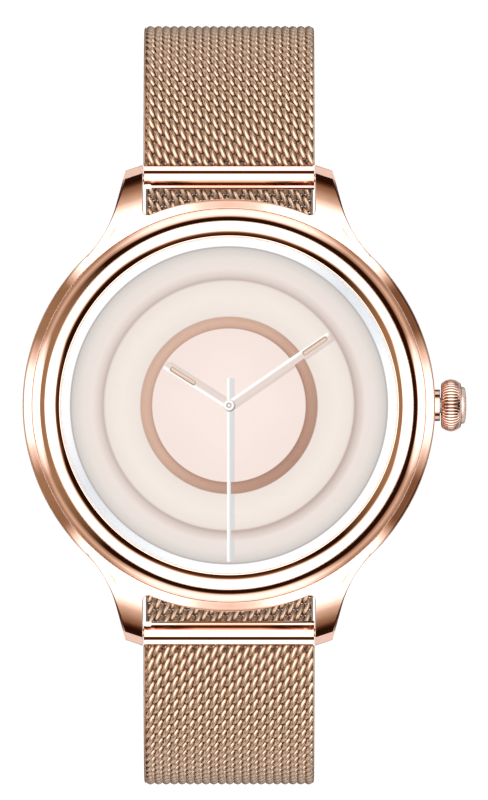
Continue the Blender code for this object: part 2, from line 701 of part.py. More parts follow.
def make_clasp(strap, keeper_strap):
    """A tray on the 12 o'clock strap. Its magnet holds the steel keeper at the end of the
    6 o'clock strap, and its lever pinches the 12 o'clock mesh where the wearer sets it."""
    w, h, length = CLASP_HALF_WIDTH, CLASP_HEIGHT, CLASP_HALF_LENGTH
    tray = link_part(box("clasp_housing", (-w, -length, 0.0), (w, length, h)), ROSE_GOLD)
    bevel(tray, 0.5, 2)
    inner = CHANNEL_HALF_WIDTH
    bridge_low, bridge_high = BRIDGE_Y
    pivot_y, pivot_z = LEVER_PIVOT
    cut(tray,
        box("channel_open", (-inner, -length - 1, CLASP_FLOOR), (inner, bridge_low, h + 1)),
        box("channel_mouth", (-inner, bridge_high, CLASP_FLOOR), (inner, length + 1, h + 1)),
        box("channel_under", (-inner, bridge_low - 0.1, CLASP_FLOOR),
            (inner, bridge_high + 0.1, BRIDGE_UNDER_Z)),
        box("magnet_pocket", (-6.1, -5.1, 0.6), (6.1, 1.1, CLASP_FLOOR + 1)),
        box("lever_window", (-5.2, 3.6, -1.0), (5.2, 11.0, CLASP_FLOOR + 0.5)),
        box("nail_notch", (-2.5, 3.0, -1.0), (2.5, 3.7, 0.6)),
        rod("pin_hole", LEVER_PIN_RADIUS + FIT, -6.6, 6.6, LEVER_PIVOT, "X", 16))
    hang(shade(tray), strap)

    magnet = link_part(box("clasp_magnet", (-6.0, -5.0, 0.7), (6.0, 1.0, 1.75)), STEEL)
    hang(shade(bevel(magnet, 0.15, 1)), strap)
    pin = rod("lever_pin", LEVER_PIN_RADIUS, -6.5, 6.5, LEVER_PIVOT, "X", 16)
    hang(shade(link_part(pin, STEEL)), strap)

    lever_body = joint_empty("clasp_lever", (0.0, pivot_y, pivot_z), strap)
    lever = link_part(box("lock_lever", (-5.0, 3.8, 0.1), (5.0, pivot_y + 0.65, 1.5)), ROSE_GOLD)
    add(lever, box("lever_ridge", (-4.5, 8.2, 1.3), (4.5, 9.0, 1.85)))
    cut(lever, rod("lever_bore", LEVER_PIN_RADIUS + FIT, -8.0, 8.0, LEVER_PIVOT, "X", 16))
    hang(shade(lever), lever_body)

    half = BAND_THICKNESS / 2
    keeper = link_part(box("band_keeper", (-8.6, 0.3 - LOWER_BAND_END_Y, BAND_BOTTOM_Z - half),
                           (8.6, 1.5, BAND_BOTTOM_Z + half)), ROSE_GOLD)
    hang(shade(bevel(keeper, 0.3)), keeper_strap)


def main():
    case = joint_empty("watch_head", (0.0, 0.0, CASE_BOTTOM_Z))
    slider = joint_empty("crown_slide", (15.0, 0.0, CROWN_Z), case)
    rotor = joint_empty("crown_turn", (22.0, 0.0, CROWN_Z), slider)
    make_case()
    make_bezel()
    make_glass_and_screen()
    make_chassis()
    make_electronics()
    make_ribbons()
    make_back_cover()
    make_back_screws()
    make_sensor()
    make_crown(slider, rotor)
    upper_end = make_band("upper", 1.0, UPPER_BAND_END_Y, case)
    lower_end = make_band("lower", -1.0, LOWER_BAND_END_Y, case)
    make_clasp(upper_end, lower_end)
    bpy.context.view_layer.update()


main()
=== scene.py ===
"""The finished look of a round smartwatch on a woven metal band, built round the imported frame.

Lengths are written in millimetres and turned into metres where a mesh is made. +Z is the dial's
normal, +Y points to 12 o'clock and +X to the crown.
"""

import json
from functools import partialmethod
from math import asin, atan2, copysign, cos, degrees, hypot, pi, radians
from math import sin, sqrt, tan

import bmesh
import bpy
import numpy as np
from mathutils import Matrix, Vector
from numpy.linalg import norm


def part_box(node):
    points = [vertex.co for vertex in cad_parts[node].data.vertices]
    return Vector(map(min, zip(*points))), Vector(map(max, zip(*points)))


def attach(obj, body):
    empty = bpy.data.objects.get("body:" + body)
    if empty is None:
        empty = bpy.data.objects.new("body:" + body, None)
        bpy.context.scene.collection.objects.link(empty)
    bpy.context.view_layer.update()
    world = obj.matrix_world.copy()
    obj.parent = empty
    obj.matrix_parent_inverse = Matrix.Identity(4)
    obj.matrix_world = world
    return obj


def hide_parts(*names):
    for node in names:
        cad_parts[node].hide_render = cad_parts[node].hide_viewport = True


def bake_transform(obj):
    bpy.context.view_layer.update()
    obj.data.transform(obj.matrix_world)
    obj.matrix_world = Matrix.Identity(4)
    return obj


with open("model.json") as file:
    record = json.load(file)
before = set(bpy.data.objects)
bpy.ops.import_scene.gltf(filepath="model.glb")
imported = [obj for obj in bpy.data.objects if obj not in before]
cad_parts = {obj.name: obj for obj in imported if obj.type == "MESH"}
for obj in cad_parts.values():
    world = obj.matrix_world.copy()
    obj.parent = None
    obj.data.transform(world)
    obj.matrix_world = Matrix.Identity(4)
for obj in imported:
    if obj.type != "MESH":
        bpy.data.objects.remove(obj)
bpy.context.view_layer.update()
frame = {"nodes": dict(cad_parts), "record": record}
MM = 0.001
HEAD = "watch_head"


def corners(node):
    """A CAD node's lowest and highest corners in millimetres."""
    low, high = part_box(node)
    return low / MM, high / MM


# -------- sizes, in millimetres

BEZEL_LOW, BEZEL_HIGH = corners("bezel_ring")
GLASS_LOW, GLASS_HIGH = corners("cover_glass")
SCREEN_HIGH = corners("display_panel")[1]
COVER_LOW, COVER_HIGH = corners("back_cover")
KNOB_LOW, KNOB_HIGH = corners("crown_knob")
BAND_END_LOW, BAND_END_HIGH = corners("upper_band_end")
MESH_HIGH = corners("upper_mesh_3")[1]
LENS_LOW, LENS_HIGH = corners("sensor_lens")
TUBE_LOW, TUBE_HIGH = corners("crown_tube")

CASE_RADIUS = 21.0
CASE_TOP_Z = 57.9
CASE_BOTTOM_Z = 49.1
SEAM_RADIUS = 20.1
INNER_RADIUS = 16.9

BAND_HALF_WIDTH = MESH_HIGH.x
BAND_THICKNESS = 1.3
BAND_SIDE_Y = MESH_HIGH.y - BAND_THICKNESS / 2
BAND_START_Y = 24.55
TOP_ARC_RADIUS = 16.85
TOP_ARC_Z = 34.74
LOW_ARC_RADIUS = 24.0
BAND_BOTTOM_Z = 2.65
FLEX_JOINTS = 4
FLAT_END = {"upper": 2.5, "lower": 6.3}

DIAL_Z = SCREEN_HIGH.z


# -------- colours

def linear(red, green, blue, gain=1.0):
    """An 8-bit display colour as the linear values that a shader takes."""
    def one(value):
        c = value / 255.0
        return (c / 12.92 if c <= 0.04045 else ((c + 0.055) / 1.055) ** 2.4) * gain
    return (one(red), one(green), one(blue), 1.0)


ROSE_GOLD = (0.92, 0.61, 0.50, 1.0)
ROSE_WIRE = (0.755, 0.573, 0.442, 1.0)
STEEL = (0.62, 0.61, 0.59, 1.0)
BLACK = (0.0, 0.0, 0.0, 1.0)
WHITE = (1.0, 1.0, 1.0, 1.0)


# -------- materials

class Tree:
    """A short way to build a node tree. Wherever a value is wanted, an output will do."""

    def __init__(self, tree):
        self.tree = tree

    def give(self, value, socket):
        if isinstance(value, bpy.types.NodeSocket):
            self.tree.links.new(value, socket)
        else:
            socket.default_value = value

    def add(self, kind, sockets=(), **settings):
        """A new node with its settings, and what its sockets get, by name or number."""
        node = self.tree.nodes.new("ShaderNode" + kind)
        for name, value in settings.items():
            setattr(node, name, value)
        for key, value in dict(sockets).items():
            self.give(value, node.inputs[key])
        return node

    def axes(self, point):
        """A point's X, Y and Z."""
        return self.add("SeparateXYZ", {0: point}).outputs

    def math(self, operation, *values):
        return self.add("Math", dict(enumerate(values)), operation=operation).outputs[0]

    plus = partialmethod(math, "ADD")
    minus = partialmethod(math, "SUBTRACT")
    times = partialmethod(math, "MULTIPLY")
    over = partialmethod(math, "DIVIDE")

    def length(self, a, b):
        """The length of a flat vector."""
        return self.math("SQRT", self.plus(self.times(a, a), self.times(b, b)))

    def spread(self, value, low, high, start=0.0, stop=1.0):
        """Takes start to low and stop to high, and stays there beyond them."""
        return self.add("MapRange", {"Value": value, "From Min": start, "From Max": stop,
                                     "To Min": low, "To Max": high}).outputs["Result"]

    def ramp(self, value, stops):
        node = self.add("ValToRGB", {"Fac": value})
        marks = node.color_ramp.elements
        while len(marks) < len(stops):
            marks.new(1.0)
        for mark, (place, colour) in zip(marks, stops):
            mark.position = place
            mark.color = colour
        return node.outputs["Color"]

    def mix(self, way, factor, first, second):
        return self.add("Mix", {"Factor": factor, "A": first, "B": second},
                        data_type="RGBA", blend_type=way).outputs["Result"]

    def camera_ray(self):
        """1 where a thing is seen directly, and 0 where it is mirrored or lights something."""
        return self.add("LightPath").outputs["Is Camera Ray"]


class Nodes(Tree):
    """The same for one material and its shader."""

    def __init__(self, name, **values):
        self.material = bpy.data.materials.new(name)
        self.material.use_nodes = True
        super().__init__(self.material.node_tree)
        self.shader = self.tree.nodes["Principled BSDF"]
        self.set(**values)

    def set(self, **values):
        """What the shader's sockets get. An _ in a name stands for a space."""
        for name, value in values.items():
            self.give(value, self.shader.inputs[name.replace("_", " ")])

    def place(self):
        """The point on the piece, in its own metres."""
        return self.add("TexCoord").outputs["Object"]

    def place_mm(self):
        """The point's X, Y and Z in millimetres."""
        return [self.times(out, 1000.0) for out in self.axes(self.place())]

    def noise(self, scale, detail=3.0, stretch=None):
        place = self.place()
        if stretch:
            place = self.add("Mapping", {"Vector": place, "Scale": stretch}).outputs["Vector"]
        return self.add("TexNoise", {"Vector": place, "Scale": scale, "Detail": detail}).outputs["Fac"]

    def bump(self, height, strength, distance):
        node = self.add("Bump", {"Height": height, "Strength": strength, "Distance": distance})
        self.set(Normal=node.outputs["Normal"])


def metal(name, colour, roughness, variation=0.03, grain=None, grain_depth=0.0):
    """Plated or bare metal: slight unevenness in its polish and colour, and a fine grain."""
    made = Nodes(name, Metallic=1.0)
    dull, bright = (tuple(c * gain for c in colour[:3]) + (1.0,) for gain in (0.96, 1.03))
    made.set(Base_Color=made.ramp(made.noise(900.0), [(0.3, dull), (0.7, bright)]),
             Roughness=made.spread(made.noise(2600.0), roughness, roughness + variation))
    if grain:
        made.bump(made.noise(1.0, 4.0, grain), 0.25, grain_depth * MM)
    return made.material


def plastic(name, colour, roughness, scale=6000.0, bump=0.15, speckle=0.06):
    """Moulded plastic or rubber with a fine spark-eroded texture."""
    made = Nodes(name)
    light = tuple(min(1.0, c * (1 + speckle) + 0.004) for c in colour[:3]) + (1.0,)
    grain = made.noise(scale)
    made.set(Base_Color=made.ramp(made.noise(scale * 0.3), [(0.35, colour), (0.7, light)]),
             Roughness=made.spread(grain, roughness, roughness + 0.1))
    made.bump(grain, bump, 0.02 * MM)
    return made.material


def clear_glass(name):
    made = Nodes(name, Transmission_Weight=1.0, IOR=1.28, Base_Color=WHITE)
    made.set(Roughness=made.spread(made.noise(300.0), 0.0, 0.012))
    return made.material


def tinted_lens(name):
    """Dark glass with the paler windows of the lamps showing through."""
    made = Nodes(name, IOR=1.5)
    x, y, _ = made.axes(made.place())
    reach = made.plus(made.math("ABSOLUTE", x), made.math("ABSOLUTE", y))
    middle, window, rest = (0.02, 0.022, 0.028, 1), (0.05, 0.06, 0.055, 1), (0.012, 0.012, 0.016, 1)
    stops = [(0.0, middle), (0.17, middle), (0.19, window), (0.34, window), (0.36, rest)]
    made.set(Base_Color=made.ramp(made.times(reach, 100.0), stops),
             Roughness=made.spread(made.noise(800.0), 0.04, 0.08))
    return made.material


def circuit_board(name):
    """Green solder mask with small gold pads."""
    made = Nodes(name, IOR=1.5)
    cells = made.add("TexVoronoi", {"Scale": 900.0, "Vector": made.place()})
    pad, mask, far = (0.75, 0.6, 0.3, 1), (0.02, 0.13, 0.07, 1), (0.04, 0.2, 0.1, 1)
    stops = [(0.0, pad), (0.09, pad), (0.11, mask), (1.0, far)]
    made.set(Base_Color=made.ramp(cells.outputs["Distance"], stops),
             Roughness=made.spread(made.noise(2000.0), 0.35, 0.5))
    return made.material


def foil(name):
    made = Nodes(name, Metallic=0.7)
    crinkle = made.noise(500.0, 5.0)
    stops = [(0.3, (0.45, 0.47, 0.5, 1)), (0.7, (0.58, 0.6, 0.63, 1))]
    made.set(Base_Color=made.ramp(crinkle, stops), Roughness=made.spread(crinkle, 0.3, 0.45))
    made.bump(crinkle, 0.3, 0.05 * MM)
    return made.material


def floor_paper(name):
    """Matt paper under an overlit studio: burnt out to white where it is seen directly, and painted dark near
    the middle, a painted shade under the watch that the polished metal mirrors."""
    made = Nodes(name, Roughness=0.9, Specular_IOR_Level=0.1, Emission_Color=WHITE)
    away = made.add("VectorMath", {0: made.place()}, operation="LENGTH").outputs["Value"]
    reach = made.plus(away, made.times(made.noise(60.0), 0.004))
    # Painted shade: the paper goes near black under the watch and pales further out.
    painted_shade_by_reach = [(0.0, 0.03), (0.055, 0.05), (0.09, 0.3), (0.13, 0.7), (1.0, 0.75)]
    made.set(Base_Color=made.ramp(reach, [(a, (v, v, v, 1)) for a, v in painted_shade_by_reach]),
             Emission_Strength=made.camera_ray())
    return made.material


# -------- the picture on the screen

# Each hand's turn from 12 o'clock in degrees anticlockwise, its two ends, half its width, and the
# ends and half width of the slot in it.
HANDS = {
    "hour": {"turn": 57.6, "start": 0.0, "end": 7.7, "half": 0.42, "slot": (4.1, 7.0, 0.2)},
    "minute": {"turn": -55.4, "start": 0.0, "end": 12.45, "half": 0.42, "slot": (9.2, 12.05, 0.2)},
    "second": {"turn": 180.0, "start": -2.8, "end": 15.9, "half": 0.2, "slot": None},
}
SHADOW_SHIFT = (0.38, -0.05)
DIAL_RADIUS = 16.2
RING_IN, RING_OUT = (7.78, 7.86), (8.97, 9.06)
STEP_IN, STEP_OUT = (12.7, 12.78), (12.8, 13.9)

# The dial's colours by radius, and the glass border's painted glow by angle in degrees from 3
# o'clock; the border's greys are painted reflections.
DIAL_STOPS = (
    (0.0, (248, 230, 222)), (7.78, (246, 228, 220)), (7.86, (160, 116, 96)), (8.0, (200, 154, 129)),
    (8.4, (208, 165, 141)), (8.87, (200, 156, 132)), (8.97, (184, 148, 130)), (9.06, (238, 226, 217)),
    (11.0, (241, 230, 221)), (12.5, (238, 226, 217)), (12.68, (226, 212, 203)),
    (12.78, (196, 177, 168)), (13.2, (222, 207, 199)), (13.9, (239, 227, 219)),
    (15.0, (233, 223, 216)), (15.7, (219, 210, 204)), (16.0, (208, 199, 194)),
    (16.08, (168, 160, 157)), (16.2, (226, 224, 223)))
BORDER_PAINTED_GLOW_STOPS = (
    (-180, (250, 249, 249)), (-150, (214, 217, 222)), (-115, (236, 238, 240)), (-95, (253, 252, 252)),
    (10, (252, 251, 251)), (26, (226, 230, 234)), (45, (214, 219, 225)), (60, (236, 238, 240)),
    (74, (253, 252, 252)), (180, (250, 249, 249)))


def hand_shadow(made, x, y, hand, soft):
    """How much of a hand's drop shadow falls on the point, from 0 to 1."""
    turn = radians(hand["turn"])

    def off(direction, middle):
        """How far the point lies from the shadow's middle, along a direction."""
        shift = SHADOW_SHIFT[0] * direction[0] + SHADOW_SHIFT[1] * direction[1]
        total = made.plus(made.times(x, direction[0]), made.times(y, direction[1]))
        return made.math("ABSOLUTE", made.minus(made.minus(total, shift), middle))

    def within(distance, half):
        return made.spread(distance, 1.0, 0.0, half - soft / 2, half + soft / 2)

    side = off((cos(turn), sin(turn)), 0.0)
    end = off((-sin(turn), cos(turn)), (hand["start"] + hand["end"]) / 2)
    return made.times(within(side, hand["half"]), within(end, (hand["end"] - hand["start"]) / 2))


def glowing(name, strength, **values):
    """A surface with no colour but its own light."""
    return Nodes(name, Base_Color=BLACK, Emission_Strength=strength, **values)


def dial_picture(name):
    """Three soft discs in steps and a rose ring, lit from behind, with the hands' shadows."""
    made = glowing(name, 0.95, Roughness=0.3, Specular_IOR_Level=0.2)
    x, y, _ = made.place_mm()
    radius = made.length(x, y)
    colour = made.ramp(made.over(radius, DIAL_RADIUS),
                       [(min(1.0, r / DIAL_RADIUS), linear(*c)) for r, c in DIAL_STOPS])

    # The light comes from the upper left, so the rings' lower right is deeper.
    toward = made.plus(made.times(x, 0.76), made.times(y, -0.65))
    share = made.over(toward, made.math("MAXIMUM", radius, 0.1))
    ring, step = (made.times(made.spread(radius, 0.0, 1.0, *near), made.spread(radius, 1.0, 0.0, *far))
                  for near, far in ((RING_IN, RING_OUT), (STEP_IN, STEP_OUT)))
    deeper = made.times(made.spread(share, 0.0, 1.0, -0.2, 1.0),
                        made.plus(made.times(ring, 0.75), made.times(step, 0.25)))
    paler = made.times(made.spread(share, 1.0, 0.0, -1.0, 0.0), made.times(ring, 0.3))
    shadow = made.math("MAXIMUM", *(hand_shadow(made, x, y, HANDS[k], 0.16) for k in ("hour", "minute")))
    under_second = hand_shadow(made, x, y, HANDS["second"], 0.06)
    for way, factor, tint in (("MIX", deeper, (158, 106, 80)), ("MIX", paler, (222, 186, 164)),
                              ("DARKEN", made.times(shadow, 0.8), (214, 196, 188)),
                              ("DARKEN", made.times(under_second, 0.9), (214, 214, 214))):
        colour = made.mix(way, factor, colour, linear(*tint))
    made.set(Emission_Color=colour)
    return made.material


def lit(name, first, second, across=(1.0, 0.0), width=0.4, centre=0.0):
    """A lit part of the picture, fading from one colour to another across its width."""
    made = glowing(name, 1.0, Roughness=0.3, Specular_IOR_Level=0.2)
    x, y, _ = made.place_mm()
    total = made.plus(made.times(x, across[0]), made.times(y, across[1]))
    fade = made.spread(total, 0.0, 1.0, centre - width / 2, centre + width / 2)
    made.set(Emission_Color=made.ramp(fade, [(0.0, linear(*first)), (1.0, linear(*second))]))
    return made.material


def border_painted_glow(name):
    """The white print's painted glow, greyer at the upper right and the lower left with painted reflections.
    """
    made = glowing(name, 1.06, Roughness=0.4)
    x, y, _ = made.axes(made.place())
    turn = made.spread(made.math("ARCTAN2", y, x), 0.0, 1.0, -pi, pi)
    made.set(Emission_Color=made.ramp(turn, [((a + 180) / 360, linear(*c)) for a, c in BORDER_PAINTED_GLOW_STOPS]))
    return made.material


# -------- meshes

def link_object(name, data):
    obj = bpy.data.objects.new(name, data)
    bpy.context.scene.collection.objects.link(obj)
    return obj


def keep_crisp(obj, degrees):
    obj.data.set_sharp_from_angle(angle=radians(degrees))


def from_bmesh(name, bm):
    """An object that takes over a bmesh."""
    mesh = bpy.data.meshes.new(name)
    bm.to_mesh(mesh)
    bm.free()
    return link_object(name, mesh)


def mesh_piece(name, points, faces, sharp=None):
    """A mesh from points in millimetres. Edges over sharp degrees stay crisp."""
    mesh = bpy.data.meshes.new(name)
    mesh.from_pydata((np.asarray(points, float) * MM).tolist(), [], faces)
    mesh.update()
    mesh.shade_smooth()
    obj = link_object(name, mesh)
    if sharp:
        keep_crisp(obj, sharp)
    return obj


def grid_faces(rows, columns, wrap_rows=False, wrap_columns=False):
    """The faces of a grid of points, which may close on itself either way."""
    faces = []
    for i in range(rows if wrap_rows else rows - 1):
        for j in range(columns if wrap_columns else columns - 1):
            here, on = i * columns, ((i + 1) % rows) * columns
            k = (j + 1) % columns
            faces.append((here + j, here + k, on + k, on + j))
    return faces


def clean(obj, weld=1e-7):
    """Welds points that lie within a distance in metres, if one is given, and turns every face
    outwards."""
    bm = bmesh.new()
    bm.from_mesh(obj.data)
    if weld:
        bmesh.ops.remove_doubles(bm, verts=bm.verts, dist=weld)
        bmesh.ops.dissolve_degenerate(bm, dist=weld, edges=bm.edges)
    bmesh.ops.recalc_face_normals(bm, faces=bm.faces)
    bm.to_mesh(obj.data)
    bm.free()
    obj.data.update()
    return obj


def arc(centre, radius, start, end, steps):
    """Points on an arc, with angles in degrees from the first axis."""
    angles = [radians(start + (end - start) * i / steps) for i in range(steps + 1)]
    return [(centre[0] + radius * cos(a), centre[1] + radius * sin(a)) for a in angles]


def rounded(points, radius, closed=True, steps=4):
    """An outline with its corners rounded. Radius is one number, or one for each corner."""
    made = []
    for i, point in enumerate(points):
        here = Vector(point)
        size = radius[i] if isinstance(radius, (list, tuple)) else radius
        if size == 0 or (not closed and i in (0, len(points) - 1)):
            made.append(tuple(here))
            continue
        back = Vector(points[i - 1]) - here
        on = Vector(points[(i + 1) % len(points)]) - here
        half = back.angle(on) / 2
        reach = min(size / tan(half), back.length * 0.45, on.length * 0.45)
        start, end = here + back.normalized() * reach, here + on.normalized() * reach
        for k in range(steps + 1):
            t = k / steps
            made.append(tuple(start * (1 - t) ** 2 + here * 2 * t * (1 - t) + end * t * t))
    return made


def lathe(name, profile, steps=192, axis="Z", place=(0.0, 0.0, 0.0), closed=True, wave=None, sharp=None):
    """A body turned from (radius, height) points. A wave changes the radius with the angle, and
    edges over sharp degrees stay crisp."""
    rows = []
    for i in range(steps):
        angle = 2 * pi * i / steps
        for radius, height in profile:
            r = radius + (wave(angle, radius, height) if wave else 0.0)
            a, b = r * cos(angle), r * sin(angle)
            point = (a, b, height) if axis == "Z" else (height, a, b)
            rows.append([p + q for p, q in zip(point, place)])
    faces = grid_faces(steps, len(profile), True, closed)
    obj = clean(mesh_piece(name, rows, faces))
    if sharp:
        keep_crisp(obj, sharp)
    return obj


def piece(obj, material, body, slot, *nodes):
    """Gives a finished mesh its material and its body, and hides the CAD nodes it stands for. The slot is not
    used.
    """
    obj.data.materials.clear()
    obj.data.materials.append(material)
    if body:
        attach(obj, body)
    if nodes:
        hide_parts(*nodes)
    return obj


# -------- case

# Points of the rim: how far inside the outline, and how far below the case's top.
RIM = ((0.895, 0.0), (0.87, 0.01), (0.45, 0.225), (0.14, 0.385), (0.04, 0.46), (0.0, 0.6))
RIM_FADE_FROM_NOON = (0.0, 8.0, 19.0, 24.0, 40.0, 44.0, 49.0, 55.0, 90.0)
RIM_FADE = (1.0, 0.95, 0.6, 0.6, 0.5, 0.5, 0.72, 1.0, 1.0)
CASE_SIDE = ((CASE_RADIUS, 52.6), (20.35, 50.0), (19.9, CASE_BOTTOM_Z))
CASE_INNER_LOW, CASE_INNER_HIGH = 50.3, 56.9
SEAM_GAP = 0.03


def rim_drop(inside):
    """How far the case's chamfered rim lies below its top, at a distance inside its outline."""
    reach, drop = np.array(RIM[::-1]).T
    return np.interp(inside, reach, drop)


def rim_share(x, y):
    """How much of the rim's full drop is kept at a point, by its angle from 12 or 6 o'clock."""
    return np.interp(np.degrees(np.arctan2(np.abs(x), np.abs(y))), RIM_FADE_FROM_NOON, RIM_FADE)


def edge_drop(inside, width):
    """The same for a plain rounded edge."""
    short = np.clip(width - inside, 0.0, width)
    return width - np.sqrt(np.maximum(width ** 2 - short ** 2, 0.0))


def make_case(metal_slot):
    """The turned case between the lugs, with its chamfered rim and rounded side."""
    top, seam, inside = CASE_TOP_Z, SEAM_RADIUS, SEAM_RADIUS - SEAM_GAP
    rim = smooth_line([(CASE_RADIUS - back, top - drop) for back, drop in RIM], 4)
    recess = COVER_HIGH.x + 0.1
    side = rounded([rim[-1], *CASE_SIDE, (recess, CASE_BOTTOM_Z)], [0, 3.0, 1.0, 0.3, 0],
                   closed=False, steps=8)
    profile = [(inside, top - 0.4), (seam - 0.01, top), *rim, *side[1:], (recess, CASE_INNER_LOW),
               (INNER_RADIUS, CASE_INNER_LOW), (INNER_RADIUS, CASE_INNER_HIGH), (inside, CASE_INNER_HIGH)]
    ring = lathe("case_ring", profile, 360, sharp=50)
    for vertex in ring.data.vertices:
        x, y, z = (c / MM for c in vertex.co)
        if hypot(x, y) > seam + 0.1 and z > top - RIM[-1][1] - 0.01:
            vertex.co.z = (top - (top - z) * float(rim_share(x, y))) * MM
    return piece(ring, metal_slot, HEAD, "case_metal", "case_body")


LUG_INNER_X = 8.8
LUG_TIP = ((8.8, 24.5), (10.55, 23.95))
LUG_FLANK_RADIUS = 11.4
LUG_FLANK_LEAN = 15.0
LUG_CORNER_RADIUS = 0.55
# The flank's chamfer by reach: its width and its slope.
LUG_CHAMFER = ((19.0, 0.05, 0.8), (20.5, 0.07, 0.5), (21.2, 0.11, 0.43), (22.0, 0.17, 0.36),
               (22.8, 0.22, 0.3), (23.66, 0.22, 0.2), (23.69, 0.0, 0.0))
LUG_INNER_EDGE_RADIUS = 0.07
LUG_BOTTOM_Z = 49.9
LUG_LOW_EDGE_RADIUS = 0.4
# The top's slope in degrees by reach, up to the crease and the facet beyond it.
LUG_TOP = ((17.8, 0.0), (18.8, 12.0), (20.3, 22.5), (21.2, 27.0), (22.55, 31.0), (23.15, 35.0),
           (23.35, 36.5), (23.66, 38.5), (23.69, 56.0), (25.0, 56.0))
LUG_SLANT = 0.333
LUG_SHARED_REACH = 20.2
LUG_BLEND_RUN = 1.2
LUG_LIFT = 0.004


def lug_edges(count):
    """The lug's inner and outer edges from above, from the case's seam to the tip."""
    reach = CASE_RADIUS + LUG_CORNER_RADIUS
    corner_x = LUG_INNER_X - LUG_CORNER_RADIUS
    corner = Vector((corner_x, sqrt(reach ** 2 - corner_x ** 2)))
    inner = [tuple(corner.normalized() * SEAM_RADIUS),
             *arc(corner, LUG_CORNER_RADIUS, bearing(corner) + 180.0, 360.0, 60), LUG_TIP[0]]

    lean = radians(LUG_FLANK_LEAN)
    tip = Vector(LUG_TIP[1])
    down = Vector((sin(lean), -cos(lean)))
    out = Vector((cos(lean), sin(lean)))
    begin = tip + out * LUG_FLANK_RADIUS
    far = CASE_RADIUS + LUG_FLANK_RADIUS
    along = begin.dot(down)
    centre = begin + down * (-along - sqrt(along ** 2 - begin.length_squared + far ** 2))
    flank = arc(centre, LUG_FLANK_RADIUS, bearing(-centre) % 360.0, bearing(-out) % 360.0, 300)
    outer = [tuple(centre.normalized() * SEAM_RADIUS), *flank, tuple(tip)]
    return resample(inner, count), resample(outer, count)


def bearing(point):
    """A point's direction in degrees from the first axis."""
    return degrees(atan2(point[1], point[0]))


def resample(line, count):
    """Points spread evenly along a line."""
    line = np.array(line, float)
    run = np.concatenate([[0], np.cumsum(norm(np.diff(line, axis=0), axis=1))])
    want = np.linspace(0, run[-1], count)
    return np.stack([np.interp(want, run, line[:, k]) for k in range(2)], axis=1)


def lug_reach(plan):
    """How far out a point lies, measured along Y and corrected for the tip's slant."""
    return plan[..., 1] + LUG_SLANT * (plan[..., 0] - LUG_INNER_X)


def climb(table, x, sign=1.0):
    """How high a curve has climbed at each x, from its slopes in degrees at some x."""
    marks, slopes = np.array(table).T
    slope = np.tan(np.radians(np.interp(x, marks, slopes))) * sign
    return np.concatenate([[0], np.cumsum((slope[1:] + slope[:-1]) / 2 * np.diff(x))])


def lug_top(reach):
    """The height of the lug's top: level, then ever steeper, then a steep facet at the tip."""
    fine = np.linspace(LUG_TOP[0][0], LUG_TOP[-1][0], 1001)
    return CASE_TOP_Z - np.interp(reach, fine, climb(LUG_TOP, fine))


def chamfer_drop(reach, gap):
    """How far the flank's narrow chamfer takes the top down, at a distance from the flank."""
    marks, widths, slopes = np.array(LUG_CHAMFER).T
    return np.clip(np.interp(reach, marks, widths) - gap, 0.0, None) * np.interp(reach, marks, slopes)


